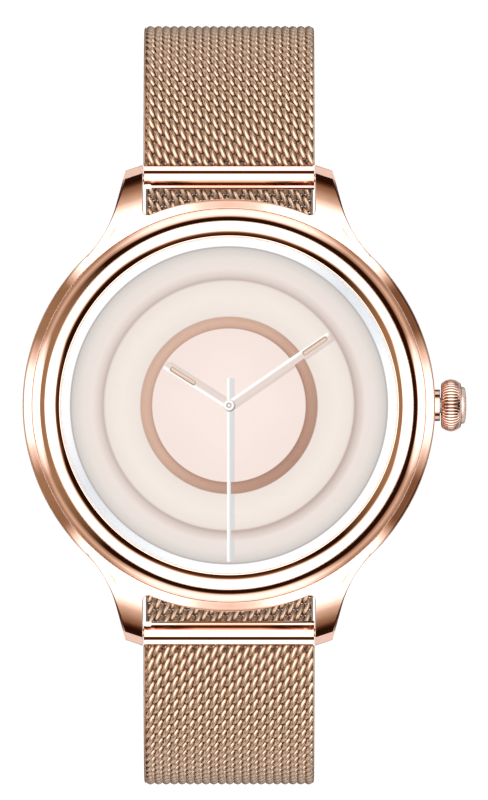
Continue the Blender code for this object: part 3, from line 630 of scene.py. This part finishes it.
def make_lug(name, material, side_x, side_y):
    """One lug as a solid: a fine grid over its top, the same grid below, and walls between."""
    columns = 41
    crease, tip_reach = LUG_TOP[-3][0], LUG_TIP[0][1]
    root_steps = np.linspace(0.0, 1.0, 31)[:-1]
    shared = np.concatenate([np.linspace(LUG_SHARED_REACH, crease - 0.02, 30),
                             [crease, crease + 0.015, crease + 0.03, crease + 0.05],
                             np.linspace(crease + 0.15, tip_reach - 0.3, 6),
                             tip_reach - 0.3 * (1 - np.linspace(0.15, 1.0, 8)) ** 1.5])
    rows = len(root_steps) + len(shared)
    picked = []
    for edge in lug_edges(801):
        reach = np.maximum.accumulate(lug_reach(edge))
        want = np.concatenate([reach[0] + (LUG_SHARED_REACH - reach[0]) * root_steps, shared])
        picked.append(np.stack([np.interp(want, reach, edge[:, k]) for k in range(2)], 1))
    inner, outer = picked
    across = (1 - np.cos(np.linspace(0.0, pi, columns))) / 2
    angles = [bearing(edge[0]) for edge in picked]
    root_turn = np.radians(angles[0] + (angles[1] - angles[0]) * across)
    root = SEAM_RADIUS * np.stack([np.cos(root_turn), np.sin(root_turn)], 1)
    plan = inner[:, None, :] * (1 - across)[None, :, None] + outer[:, None, :] * across[None, :, None]
    fade = np.concatenate([1 - root_steps, np.zeros(len(shared))]) ** 1.5
    plan = plan + fade[:, None, None] * (root - plan[0])

    def distance(border):
        flat = plan.reshape(-1, 2)
        gaps = [np.sqrt(((part[:, None, :] - border[None, :, :]) ** 2).sum(2).min(1))
                for part in np.array_split(flat, 8)]
        return np.concatenate(gaps).reshape(plan.shape[:2])

    borders = [line[norm(line, axis=1) > CASE_RADIUS - 0.002] for line in lug_edges(1201)]
    case_line = np.array(arc((0, 0), CASE_RADIUS, angles[1] - 6.0, angles[1], 60))
    outer_gap = distance(np.concatenate([borders[1], case_line]))
    inner_gap = distance(borders[0])
    tip_gap = distance(resample(LUG_TIP, 120))
    inner_gap[:, 0][norm(plan[:, 0], axis=1) > CASE_RADIUS] = 0.0
    outer_gap[:, -1][norm(plan[:, -1], axis=1) > CASE_RADIUS] = 0.0
    tip_gap[-1, :] = 0.0
    inside = np.minimum(np.minimum(inner_gap, outer_gap), tip_gap)

    from_case = np.clip((norm(plan, axis=2) - CASE_RADIUS) / LUG_BLEND_RUN, 0.0, 1.0)
    blend = from_case * from_case * (3 - 2 * from_case)
    drop = (rim_drop(outer_gap) * rim_share(plan[..., 0], plan[..., 1]) * (1 - blend)
            + chamfer_drop(lug_reach(plan), outer_gap) * blend)
    drop = np.maximum(drop, edge_drop(np.minimum(inner_gap, tip_gap), LUG_INNER_EDGE_RADIUS))
    high = lug_top(lug_reach(plan)) - drop + LUG_LIFT
    low = LUG_BOTTOM_Z + edge_drop(inside, LUG_LOW_EDGE_RADIUS)

    top = np.concatenate([plan, high[:, :, None]], axis=2).reshape(-1, 3)
    base = np.concatenate([plan, low[:, :, None]], axis=2).reshape(-1, 3)
    points = np.concatenate([top, base])
    points[:, 0] *= side_x
    points[:, 1] *= side_y
    count = len(top)
    faces = grid_faces(rows, columns)
    faces += [tuple(reversed([count + i for i in f])) for f in grid_faces(rows, columns)]
    index = np.arange(count).reshape(rows, columns)
    ring = np.concatenate([index[0], index[1:, -1], index[-1, -2::-1], index[-2:0:-1, 0]]).tolist()
    for a, b in zip(ring, ring[1:] + ring[:1]):
        faces.append((a, b, count + b, count + a))
    lug = clean(mesh_piece(name, points, faces))
    keep_crisp(lug, 45)
    return piece(lug, material, HEAD, "case_metal", "case_body")


# The crest and the groove's start as (radius, depth below the top); the slope as (radius, height).
BEZEL_CREST = ((17.26, 0.455), (17.38, 0.368), (17.5, 0.284), (17.62, 0.203), (17.74, 0.135),
               (17.88, 0.075), (18.05, 0.025), (18.25, 0.0), (18.5, 0.03), (18.73, 0.1))
BEZEL_GROOVE = ((18.775, 0.14), (18.79, 0.2))
BEZEL_GROOVE_Z = 58.63
BEZEL_SLOPE = [(18.83, 58.6), (19.0, 58.47), (19.2, 58.325), (19.45, 58.2), (19.75, 58.07), (20.02, 57.945)]


def make_bezel(material):
    """Inner wall, round crest with a flat crown, a groove, and a hollow slope down to the case."""
    high = BEZEL_HIGH.z
    bore = GLASS_HIGH.x + 0.1
    crest = [(bore, high - 1.2), *((r, high - drop) for r, drop in ((bore, 0.535), *BEZEL_CREST))]
    profile = (smooth_line(crest, 6) + [(r, high - drop) for r, drop in BEZEL_GROOVE]
               + [(BEZEL_GROOVE[-1][0], BEZEL_GROOVE_Z)] + smooth_line(BEZEL_SLOPE, 5)
               + [(BEZEL_HIGH.x, CASE_TOP_Z), (BEZEL_HIGH.x, BEZEL_LOW.z), (bore, BEZEL_LOW.z)])
    return piece(lathe("bezel", profile, 256, sharp=35), material, HEAD, "case_metal", "bezel_ring")


def smooth_line(points, steps):
    """A Catmull-Rom curve through points."""
    ends = [points[0], *points, points[-1]]
    made = []
    for a, b, c, d in zip(ends, ends[1:], ends[2:], ends[3:]):
        a, b, c, d = (np.array(p, float) for p in (a, b, c, d))
        for k in range(steps):
            t = k / steps
            made.append(tuple(0.5 * (2 * b + (c - a) * t + (2 * a - 5 * b + 4 * c - d) * t ** 2
                                     + (3 * b - a - 3 * c + d) * t ** 3)))
    return made + [tuple(points[-1])]


# -------- glass and dial

def make_glass(material):
    top, low, radius = GLASS_HIGH.z, GLASS_LOW.z, GLASS_HIGH.x
    edge = rounded([(15.9, top - 0.04), (16.5, top - 0.07), (radius, top - 0.38), (radius, low)],
                   [0.3, 0.4, 0.08, 0.05], closed=False)
    profile = [(0.0, top), (8.0, top - 0.01), *edge, (radius, low), (0.0, low)]
    return piece(lathe("glass", profile, 256, closed=False, sharp=30), material, HEAD,
                 "cover_glass", "cover_glass")


def make_gasket(material):
    """The pale gasket that shows as a thin line between the glass and the bezel."""
    near, far, top, low = GLASS_HIGH.x - 0.01, GLASS_HIGH.x + 0.11, GLASS_HIGH.z - 0.22, GLASS_LOW.z
    profile = rounded([(near, top), (far, top), (far, low), (near, low)], 0.03)
    return piece(lathe("glass_seal", profile, 256), material, HEAD, "seal_rubber")


def flat_shape(name, outline, low, high):
    """A thin plate from an outline, in millimetres."""
    count = len(outline)
    points = [(x, y, high) for x, y in outline] + [(x, y, low) for x, y in outline]
    faces = [tuple(range(count)), tuple(range(2 * count - 1, count - 1, -1))]
    faces += [(i, count + i, count + (i + 1) % count, (i + 1) % count) for i in range(count)]
    return clean(mesh_piece(name, points, faces, sharp=30))


def bar_outline(turn, start, end, half, corner):
    """A round-cornered bar that points a number of radians anticlockwise from 12 o'clock."""
    plain = rounded([(-half, start), (half, start), (half, end), (-half, end)], corner, steps=5)
    c, s = cos(turn), sin(turn)
    return [(x * c - y * s, x * s + y * c) for x, y in plain]


def make_dial(picture):
    low, radius = DIAL_Z + 0.02, DIAL_RADIUS
    profile = [(0.0, low + 0.08), (7.82, low + 0.08), (7.84, low + 0.02), (9.0, low + 0.02),
               (9.02, low + 0.06), (12.74, low + 0.06), (12.76, low + 0.01), (radius, low + 0.01),
               (radius, low), (0.0, low)]
    return piece(lathe("dial_picture", profile, 256, closed=False), picture, HEAD, "screen")


# Parts of the picture: how far they stand out or how wide they are, how high, and two colours.
SLOT_PARTS = (("slot_edge", 0.05, 0.004, (124, 88, 66), (196, 160, 138)),
              ("slot", -0.05, 0.008, (214, 180, 156), (236, 210, 192)))
HUB_PARTS = (("hub_shadow", 0.62, 0.0, (246, 240, 236), (158, 140, 132)),
             ("hub", 0.5, 0.012, (255, 253, 251), (248, 245, 243)),
             ("hub_ring", 0.28, 0.02, (150, 144, 142), (186, 180, 178)),
             ("hub_pip", 0.14, 0.028, (250, 248, 247), (235, 232, 231)))
HAND_THICKNESS = 0.015
HAND_LIFT = 0.02


def make_hands():
    """The three hands of the screen's picture, each a crisp plate just over the dial."""
    low = DIAL_Z + 0.13
    white, mauve, grey = (253, 250, 247), (223, 206, 198), (210, 213, 215)
    for number, (name, hand) in enumerate(HANDS.items()):
        turn, half = radians(hand["turn"]), hand["half"]
        sign = copysign(1.0, cos(turn))
        across = (cos(turn) * sign, sin(turn) * sign)
        shade, width, centre = (grey, 0.06, 0.05) if name == "second" else (mauve, 0.12, -0.12)
        under = low + HAND_LIFT * number
        over = under + HAND_THICKNESS
        outline = bar_outline(turn, hand["start"], hand["end"], half, half * 0.45)
        piece(flat_shape(f"{name}_hand", outline, under, over),
              lit(f"{name}_hand_light", white, shade, across, width, centre), HEAD, "screen")
        if hand["slot"]:
            start, end, half = hand["slot"]
            for part, grow, rise, first, second in SLOT_PARTS:
                outline = bar_outline(turn, start - grow, end + grow, half + grow, half)
                piece(flat_shape(f"{name}_hand_{part}", outline, over, over + rise),
                      lit(f"{name}_{part}_light", first, second, across, half * 2.5),
                      HEAD, "screen")
    hub = low + 0.065
    for name, radius, rise, first, second in HUB_PARTS:
        centre = (0.06, -0.05) if name == "hub_shadow" else (0.0, 0.0)
        disc = flat_shape(name, arc(centre, radius, 0, 352, 44), hub + rise - 0.01, hub + rise)
        piece(disc, lit(f"{name}_light", first, second, (0.8, -0.6), radius * 2), HEAD, "screen")


def make_glass_border(material):
    """The white print round the underside of the glass."""
    near, far, top = DIAL_RADIUS, GLASS_HIGH.x - 0.02, GLASS_LOW.z - 0.03
    profile = [(near, top), (far, top), (far, top - 0.03), (near, top - 0.03)]
    return piece(lathe("glass_border", profile, 256), material, HEAD, "screen")


# -------- crown

FLUTES = 45
FLUTE_DEPTH = 0.12
FLUTE_HALF_LENGTH = 0.95
CROWN_Z = 54.3
BARREL_MIDDLE = 22.62
BARREL_CURVE = 0.46
CAP_FOOT_X = 23.6
CAP_RADIUS = 1.88


def fluted_metal_with_painted_shade(name):
    """Polished rose gold with painted shade in its grooves, near black where they lie deepest."""
    made = Nodes(name, Metallic=1.0)
    x, y, z = made.place_mm()
    off = made.minus(x, BARREL_MIDDLE)
    barrel = made.minus(KNOB_HIGH.y, made.times(made.times(off, off), BARREL_CURVE))
    depth = made.minus(barrel, made.length(y, made.minus(z, CROWN_Z)))
    # Painted shade: the colour runs from rose gold to near black with the depth below the barrel.
    stops = [(0.0, ROSE_GOLD), (1.0, (0.05, 0.03, 0.022, 1.0))]
    made.set(Base_Color=made.ramp(made.spread(depth, 0.0, 1.0, 0.05, 0.1), stops),
             Roughness=made.spread(made.noise(2600.0), 0.07, 0.12))
    return made.material


def make_crown(material, cap_metal):
    """A barrel-shaped fluted knob with a domed cap, and the neck that it turns on."""
    inner_x, end_x, place = KNOB_LOW.x, KNOB_HIGH.x, (0.0, 0.0, CROWN_Z)
    barrel = [(KNOB_HIGH.y - BARREL_CURVE * (x - BARREL_MIDDLE) ** 2, x)
              for x in np.linspace(inner_x + 0.06, CAP_FOOT_X, 25)]
    profile = [(0.0, 22.3), (1.75, 22.3), (1.78, inner_x), (2.05, inner_x), *barrel, (1.95, 23.66),
               (1.9, 23.68), (0.0, 23.68)]

    def flute(angle, r, x):
        inside = FLUTE_HALF_LENGTH - abs(x - BARREL_MIDDLE)
        if r < 2.1 or inside < 0:
            return 0.0
        return -FLUTE_DEPTH * min(1.0, inside / 0.3) * (1 - abs(sin(FLUTES * angle / 2)))

    knob = lathe("crown", profile, FLUTES * 12, "X", place, False, flute)
    keep_crisp(knob, 60)
    piece(knob, fluted_metal_with_painted_shade("rose_gold_knurled"), "crown", "case_metal", "crown_knob")
    dome = smooth_line([(CAP_RADIUS, 23.66), (1.885, 23.8), (1.86, 23.92), (1.78, 24.02), (1.6, 24.09),
                        (1.2, 24.15), (0.6, end_x - 0.012), (0.0, end_x)], 4)
    cap = lathe("crown_cap", [(0.0, CAP_FOOT_X), (CAP_RADIUS, CAP_FOOT_X), *dome], 128, "X", place, False,
                sharp=50)
    piece(cap, cap_metal, "crown", "case_metal", "crown_knob")
    outer, bore = TUBE_HIGH.y, 1.27
    neck = rounded([(outer, TUBE_HIGH.x), (outer, TUBE_LOW.x), (bore, TUBE_LOW.x), (bore, TUBE_HIGH.x)], 0.06)
    piece(lathe("crown_neck", neck, 96, "X", place), material, HEAD, "case_metal", "crown_tube")


# -------- back

def make_back(metal_slot, lens):
    low, high, radius = COVER_LOW.z, COVER_HIGH.z, COVER_HIGH.x
    profile = rounded([(radius, high), (radius, low + 0.3), (radius - 0.25, low), (7.0, low), (7.0, 49.5),
                       (6.2, 49.5), (6.2, high)], [0.05, 0.2, 0.15, 0.1, 0.05, 0.05, 0.05])
    cover = lathe("back_plate", profile, 192)
    for screw in range(4):
        angle = radians(45 + 90 * screw)
        drill(cover, 17.95 * cos(angle), 17.95 * sin(angle), 0.82, 48.0, 49.3)
    for x in (-2.5, 2.5):
        drill(cover, x, -12.5, 1.0, 48.0, 51.0)
    keep_crisp(cover, 30)
    piece(cover, metal_slot, HEAD, "case_metal", "back_cover")

    dome_drop = 0.55
    edge_z = LENS_LOW.z + dome_drop
    lens_radius = LENS_HIGH.x
    dome_radius = (lens_radius ** 2 + dome_drop ** 2) / (2 * dome_drop)
    spread = degrees(asin(lens_radius / dome_radius))
    dome = arc((0.0, edge_z - dome_drop + dome_radius), dome_radius, 270.0 + spread, 270.0, 20)
    profile = [(0.0, LENS_HIGH.z), (lens_radius, LENS_HIGH.z), *dome[:-1], (0.0, edge_z - dome_drop)]
    piece(lathe("lens", profile, 128, closed=False), lens, HEAD, "dark_lens", "sensor_lens")


def drill(obj, x, y, radius, low, high):
    """Cuts a round hole along Z."""
    bm = bmesh.new()
    bmesh.ops.create_cone(bm, cap_ends=True, segments=48, radius1=radius * MM, radius2=radius * MM,
                          depth=(high - low) * MM)
    cut_away(obj, bm, (x, y, (low + high) / 2))


def cut_away(obj, bm, centre):
    """Takes a bmesh's shape, moved to a centre, out of obj."""
    cutter = from_bmesh("cutter", bm)
    cutter.location = Vector(centre) * MM
    made = obj.modifiers.new("cut", "BOOLEAN")
    made.object = cutter
    made.solver = "EXACT"
    bpy.context.view_layer.update()
    mesh = bpy.data.meshes.new_from_object(obj.evaluated_get(bpy.context.evaluated_depsgraph_get()))
    obj.modifiers.clear()
    obj.data = mesh
    mesh.name = obj.name
    bpy.data.objects.remove(cutter, do_unlink=True)


# -------- band

class BandPath:
    """The band's middle line by its length from the head: an arc over the wrist's edge,
    a straight side, a wide arc and a flat run to the clasp."""

    def __init__(self):
        self.top_y = BAND_SIDE_Y - TOP_ARC_RADIUS
        self.low_y = BAND_SIDE_Y - LOW_ARC_RADIUS
        self.low_z = BAND_BOTTOM_Z + LOW_ARC_RADIUS
        self.start = asin((BAND_START_Y - self.top_y) / TOP_ARC_RADIUS)
        self.top_run = TOP_ARC_RADIUS * (pi / 2 - self.start)
        self.side_run = TOP_ARC_Z - self.low_z
        self.low_run = LOW_ARC_RADIUS * pi / 2

    def at_slope(self, degrees):
        """The length at which the band slopes down by this many degrees."""
        slope = radians(degrees)
        if degrees < 90.0:
            return TOP_ARC_RADIUS * (slope - self.start)
        return self.top_run + self.side_run + LOW_ARC_RADIUS * (slope - pi / 2)

    def flat(self, y):
        """The length at which the flat run reaches y."""
        return self.top_run + self.side_run + self.low_run + (self.low_y - y)

    def place(self, run, lift):
        """(y, z) at lengths along the band, lifted off its middle line."""
        ends = np.cumsum([0.0, self.top_run, self.side_run, self.low_run])
        side, low = (np.clip(run - a, 0.0, b - a) for a, b in zip(ends[1:3], ends[2:4]))
        turn = self.start + np.clip(run, None, self.top_run) / TOP_ARC_RADIUS
        on = low / LOW_ARC_RADIUS
        y = (self.top_y + TOP_ARC_RADIUS * np.sin(turn) + LOW_ARC_RADIUS * (np.cos(on) - 1.0)
             - np.clip(run - ends[3], 0.0, None))
        z = TOP_ARC_Z + TOP_ARC_RADIUS * np.cos(turn) - side - LOW_ARC_RADIUS * np.sin(on)
        return y + lift * np.sin(turn + on), z + lift * np.cos(turn + on)


PATH = BandPath()
ROW_PITCH = 0.65
TURN_PITCH = 1.63
WIRE_RADIUS = 0.25
WIRE_SWING = 0.74
WIRE_RISE = 0.39
WIRE_SIDES = 8
TURN_STEPS = 16
EDGE_X = BAND_HALF_WIDTH - 0.14
EDGE_SIDES = 12
EDGE_STEP = 0.6


def tube_faces(count, sides):
    """The wall and the two end caps of a tube made of rings of points."""
    return (grid_faces(count, sides, False, True) + [tuple(range(sides - 1, -1, -1))]
            + [tuple(range((count - 1) * sides, count * sides))])


def spiral(row):
    """One flattened spiral of wire, right across the band, at a row's length from the head.
    The row before the first is pressed flat where it enters the end piece."""
    reach = EDGE_X - 0.1
    turns = 2 * reach / TURN_PITCH
    count = int(round(turns * TURN_STEPS)) + 1
    shift = pi if row % 2 else 0.0
    angle = np.linspace(0.0, 2 * pi * turns, count) + shift
    run = np.maximum((row + 1.2) * ROW_PITCH + WIRE_SWING * np.cos(angle), -0.05)
    y, z = PATH.place(run, WIRE_RISE * np.sin(angle))
    path = np.stack([np.linspace(-reach, reach, count), y, z], 1)

    tangent = np.gradient(path, axis=0)
    tangent /= norm(tangent, axis=1)[:, None]
    first = np.cross(tangent, (1.0, 0.0, 0.0))
    first /= norm(first, axis=1)[:, None]
    second = np.cross(tangent, first)
    turn = np.linspace(0.0, 2 * pi, WIRE_SIDES, endpoint=False)[None, :, None]
    ring = first[:, None, :] * np.cos(turn) + second[:, None, :] * np.sin(turn)
    return (path[:, None, :] + ring * WIRE_RADIUS).reshape(-1, 3), tube_faces(count, WIRE_SIDES)


def edge_wire(first, last, x):
    """The fused edge that closes the spirals' ends, as a flattened strand along the band."""
    count = max(3, int((last - first) / EDGE_STEP))
    turn = np.linspace(0.0, 2 * pi, EDGE_SIDES, endpoint=False)
    points = []
    for s in np.linspace(first, last, count):
        wobble = 0.02 * sin(pi * s / ROW_PITCH)
        y, z = PATH.place(np.full(EDGE_SIDES, s), (0.46 + wobble) * np.sin(turn))
        points.append(np.stack([x + (0.13 + wobble / 2) * np.cos(turn), y, z], 1))
    return np.concatenate(points), tube_faces(count, EDGE_SIDES)


def gather(name, parts, side):
    """Joins many (points, faces) into one mesh, mirrored to the 6 o'clock side if needed."""
    points, faces, first = [], [], 0
    for part_points, part_faces in parts:
        points.append(part_points)
        faces += [tuple(first + i for i in f) for f in part_faces]
        first += len(part_points)
    points = np.concatenate(points)
    points[:, 1] *= side
    if side < 0:
        faces = [f[::-1] for f in faces]
    return mesh_piece(name, points, faces, sharp=60)


def make_band(label, side, material):
    """One half of the woven band, with a mesh for each of the frame's stretches."""
    total = PATH.flat(FLAT_END[label])
    start_slope = degrees(PATH.start)
    turn = (180.0 - start_slope) / FLEX_JOINTS
    marks = [start_slope + turn * i for i in range(FLEX_JOINTS + 1)]
    lengths = [PATH.at_slope(m) for m in marks] + [total]
    rows = int((total - 0.8) / ROW_PITCH - 1.2)
    for number in range(FLEX_JOINTS + 1):
        first, last = lengths[number], lengths[number + 1]
        middle = [row for row in range(-1, rows + 1) if first <= (row + 1.2) * ROW_PITCH < last]
        parts = [spiral(row) for row in middle]
        parts += [edge_wire(max(first, 0.05), last + 0.02, x) for x in (-EDGE_X, EDGE_X)]
        name = f"{label}_weave_{number + 1}"
        woven = piece(clean(gather(name, parts, side), weld=0), material, None, "band_mesh",
                      f"{label}_mesh_{number + 1}")
        if number < FLEX_JOINTS:
            for length in (first, last):
                y, z = PATH.place(length, 0.0)
            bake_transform(woven)
        else:
            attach(woven, f"{label}_strap_{FLEX_JOINTS + 1}")


# The end piece's slope in degrees by its Y from the middle: facets with steps between them.
END_TOP = ((-1.19, 90.0), (-1.08, 60.0), (-1.03, 30.0), (-0.99, 11.0), (-0.79, 11.0), (-0.775, 72.0),
           (-0.735, 72.0), (-0.72, 35.0), (-0.52, 35.0), (-0.46, 30.0), (-0.31, 26.0), (-0.24, 14.0),
           (0.06, 0.0), (0.37, 14.0), (0.45, 34.5), (0.72, 34.5), (0.8, 14.0), (1.19, 11.0))
END_LIP_Y = 1.17
END_BORE = 0.85
# What is cut out for the release knob: size, middle and how soft its edges are.
END_NOTCH = (((3.2, 2.0, 1.0), (-7.85, -1.0, 0.0), 0.15), ((1.0, 0.8, 1.6), (-8.42, -1.02, 0.7), 0.08))


def end_section(radius):
    """The end piece's radius against the angle: round below, facets on top, and a flat lip
    over the mesh."""
    y = np.linspace(-0.98 * radius, END_LIP_Y, 600)
    height = climb(END_TOP, y, np.sign(0.06 - y))
    height += radius - height.max()
    turn, reach = np.arctan2(height, y), np.hypot(height, y)
    order = np.argsort(turn)

    def radius_at(angle):
        angle = (angle + pi) % (2 * pi) - pi
        if 0.0 <= angle <= turn.min():
            return END_LIP_Y / cos(angle)
        if angle < 0.0 or angle > turn.max():
            return radius
        made = float(np.interp(angle, turn[order], reach[order]))
        return made if angle < pi / 2 else min(radius, made)
    return radius_at


def make_band_end(label, side, material):
    """The polished end piece: a bar with a flat-topped face, soft ends and a notch for the knob."""
    half, bore = BAND_END_HIGH.x, END_BORE
    radius = (BAND_END_HIGH.y - BAND_END_LOW.y) / 2
    middle = (BAND_END_HIGH + BAND_END_LOW) / 2
    section = end_section(radius)
    profile = rounded([(bore, half), (radius, half), (radius, -half), (bore, -half)],
                      [0.05, 0.06, 0.06, 0.05])
    bar = lathe(f"{label}_end_piece", profile, 720, "X", (0.0, middle.y, middle.z),
                wave=lambda angle, r, x: (section(angle) - radius) * max(0.0, r - bore) / (radius - bore))
    for size, place, soft in END_NOTCH:
        bm = bmesh.new()
        bmesh.ops.create_cube(bm, size=1.0)
        bmesh.ops.scale(bm, vec=Vector(size) * MM, verts=bm.verts)
        bmesh.ops.bevel(bm, geom=bm.edges, offset=soft * MM, segments=3, affect="EDGES")
        cut_away(bar, bm, (place[0], middle.y + place[1], middle.z + place[2]))
    bar.data.transform(Matrix.Scale(side, 4, (0, 1, 0)))
    keep_crisp(clean(bar, weld=0), 30)
    piece(bar, material, f"{label}_strap_1", "case_metal", f"{label}_band_end")


# -------- carried-over CAD nodes

def soften(obj, width):
    """Breaks a CAD node's sharp edges."""
    weld = obj.modifiers.new("weld", "WELD")
    weld.merge_threshold = 1e-6
    edge = obj.modifiers.new("edge", "BEVEL")
    edge.width = width * MM
    edge.segments = 2
    edge.limit_method = "ANGLE"
    edge.angle_limit = radians(35.0)


# How wide the edges of a CAD node are broken.
SOFTENED = {"clasp_housing": 0.12, "lock_lever": 0.15, "band_keeper": 0.1, "shield_can": 0.08,
            "battery": 0.1, "crown_switch": 0.08, "clasp_magnet": 0.08, "inner_chassis": 0.06}


def finish_cad_nodes(materials):
    """Each CAD node gets its slot's material, and some get softer edges."""
    slots = {s["node"]: s["material_slot"] for s in frame["record"]["subparts"]}
    for name, obj in frame["nodes"].items():
        obj.data.materials.clear()
        obj.data.materials.append(materials[slots[name]])
        if name in SOFTENED:
            soften(obj, SOFTENED[name])


# -------- studio

VIEW_CENTRE = (1.53, 0.54)
VIEW_HEIGHT = 81.4
LENS = 800.0
SENSOR = 36.0
FLOOR_HALF = 3.0
FLOOR_Z = -0.00002

# The light that metal mirrors, by degrees from straight up, and the brown glow at the left.
STUDIO_STOPS = (
    (0, (2.3, 2.3, 2.3)), (45, (2.2, 2.2, 2.2)), (51, (1.5, 1.45, 1.42)), (57, (0.8, 0.69, 0.57)),
    (63, (0.36, 0.235, 0.145)), (68, (0.1, 0.04, 0.016)), (72, (0.02, 0.007, 0.003)),
    (80, (0.02, 0.007, 0.003)), (84, (0.16, 0.12, 0.1)), (88, (0.6, 0.6, 0.6)),
    (95, (0.8, 0.8, 0.8)), (180, (0.8, 0.8, 0.8)))
STUDIO_GLOW = (0.38, 0.27, 0.16)
STUDIO_PEAK = 2.4


def make_camera():
    data = bpy.data.cameras.new("camera")
    data.lens = LENS
    data.sensor_width = SENSOR
    data.clip_end = 20.0
    camera = link_object("camera", data)
    camera.location = Vector((*VIEW_CENTRE, DIAL_Z + LENS * VIEW_HEIGHT / SENSOR)) * MM
    bpy.context.scene.camera = camera


def make_floor():
    bm = bmesh.new()
    bmesh.ops.create_grid(bm, x_segments=4, y_segments=4, size=FLOOR_HALF)
    floor = from_bmesh("floor", bm)
    floor.location.z = FLOOR_Z
    floor.data.materials.append(floor_paper("floor_paper"))


def make_light():
    """A studio as polished metal sees it: a wide white ceiling that reaches lower at the left
    and right and less low at the corners, a dark band below it that glows brown at the left, and
    a bright horizon. It can't be seen directly, where all is white."""
    world = bpy.data.worlds.new("studio")
    bpy.context.scene.world = world
    world.use_nodes = True
    made = Tree(world.node_tree)
    made.tree.nodes.clear()
    x, y, z = made.axes(made.add("TexCoord").outputs["Generated"])
    zenith = made.times(made.math("ARCCOSINE", z), 180.0 / pi)
    level = made.math("SQRT", made.plus(made.times(x, x), made.plus(made.times(y, y), 1e-6)))
    sideways = made.over(x, level)
    aside = made.math("ABSOLUTE", sideways)
    sides = made.times(made.spread(aside, 0.0, 12.0, 0.972, 0.995),
                       made.spread(zenith, 1.0, 0.0, 57.5, 61.0))
    corner = made.times(made.spread(aside, 0.0, 1.0, 0.38, 0.62),
                        made.spread(aside, 1.0, 0.0, 0.93, 0.97))
    lower = made.times(corner, made.spread(zenith, 11.0, 0.0, 66.0, 75.0))
    shifted = made.plus(made.minus(zenith, sides), lower)

    def share(light):
        return tuple(v / STUDIO_PEAK for v in light) + (1.0,)

    colour = made.ramp(made.over(shifted, 180.0), [(a / 180.0, share(light)) for a, light in STUDIO_STOPS])
    colour = made.mix("LIGHTEN", made.spread(sideways, 1.0, 0.0, -0.92, -0.66), colour, share(STUDIO_GLOW))
    studio = made.add("Background", {"Color": colour, "Strength": STUDIO_PEAK})
    plain = made.add("Background", {"Color": WHITE, "Strength": 1.0})
    both = made.add("MixShader", {"Fac": made.camera_ray(), 1: studio.outputs[0], 2: plain.outputs[0]})
    made.add("OutputWorld", {"Surface": both.outputs[0]})
    bpy.context.scene.view_settings.view_transform = "Standard"


def main():
    polished = metal("rose_gold_polished", ROSE_GOLD, 0.055)
    wire = metal("rose_gold_wire", ROSE_WIRE, 0.34, 0.08, (900.0, 9000.0, 9000.0), 0.01)
    materials = {
        "case_metal": metal("rose_gold_satin", ROSE_GOLD, 0.14, 0.06, (300.0, 9000.0, 9000.0), 0.004),
        "band_mesh": wire,
        "steel": metal("turned_steel", STEEL, 0.22, 0.1, (600.0, 8000.0, 8000.0), 0.006),
        "cover_glass": clear_glass("sapphire"),
        "screen": plastic("screen_body", (0.01, 0.01, 0.012, 1.0), 0.3),
        "dark_lens": tinted_lens("tinted_lens"),
        "black_plastic": plastic("black_plastic", (0.02, 0.02, 0.022, 1.0), 0.45),
        "seal_rubber": plastic("seal_rubber", (0.012, 0.012, 0.012, 1.0), 0.7),
        "circuit_board": circuit_board("circuit_board"),
        "cell_wrap": foil("cell_wrap"),
        "ribbon_film": plastic("ribbon_film", (0.5, 0.26, 0.06, 1.0), 0.3, 3000.0, 0.1, 0.3),
        "gold_pad": metal("gold_pad", (0.85, 0.62, 0.28, 1.0), 0.16, 0.08),
    }
    finish_cad_nodes(materials)
    make_case(polished)
    for number, (side_x, side_y) in enumerate(((1, 1), (-1, 1), (-1, -1), (1, -1)), 1):
        make_lug(f"lug_{number}", polished, side_x, side_y)
    make_bezel(polished)
    make_glass(materials["cover_glass"])
    make_dial(dial_picture("dial_light"))
    # The printed border gets a painted glow, with painted reflections greying it at the upper right and the
    # lower left.
    make_glass_border(border_painted_glow("border_painted_glow"))
    make_gasket(plastic("pale_gasket", (0.8, 0.79, 0.78, 1.0), 0.5))
    make_hands()
    make_crown(polished, metal("rose_gold_matt", (0.93, 0.74, 0.66, 1.0), 0.5))
    make_back(materials["case_metal"], materials["dark_lens"])
    for label, side in (("upper", 1.0), ("lower", -1.0)):
        make_band_end(label, side, polished)
        make_band(label, side, wire)
    make_floor()
    make_light()
    make_camera()


main()
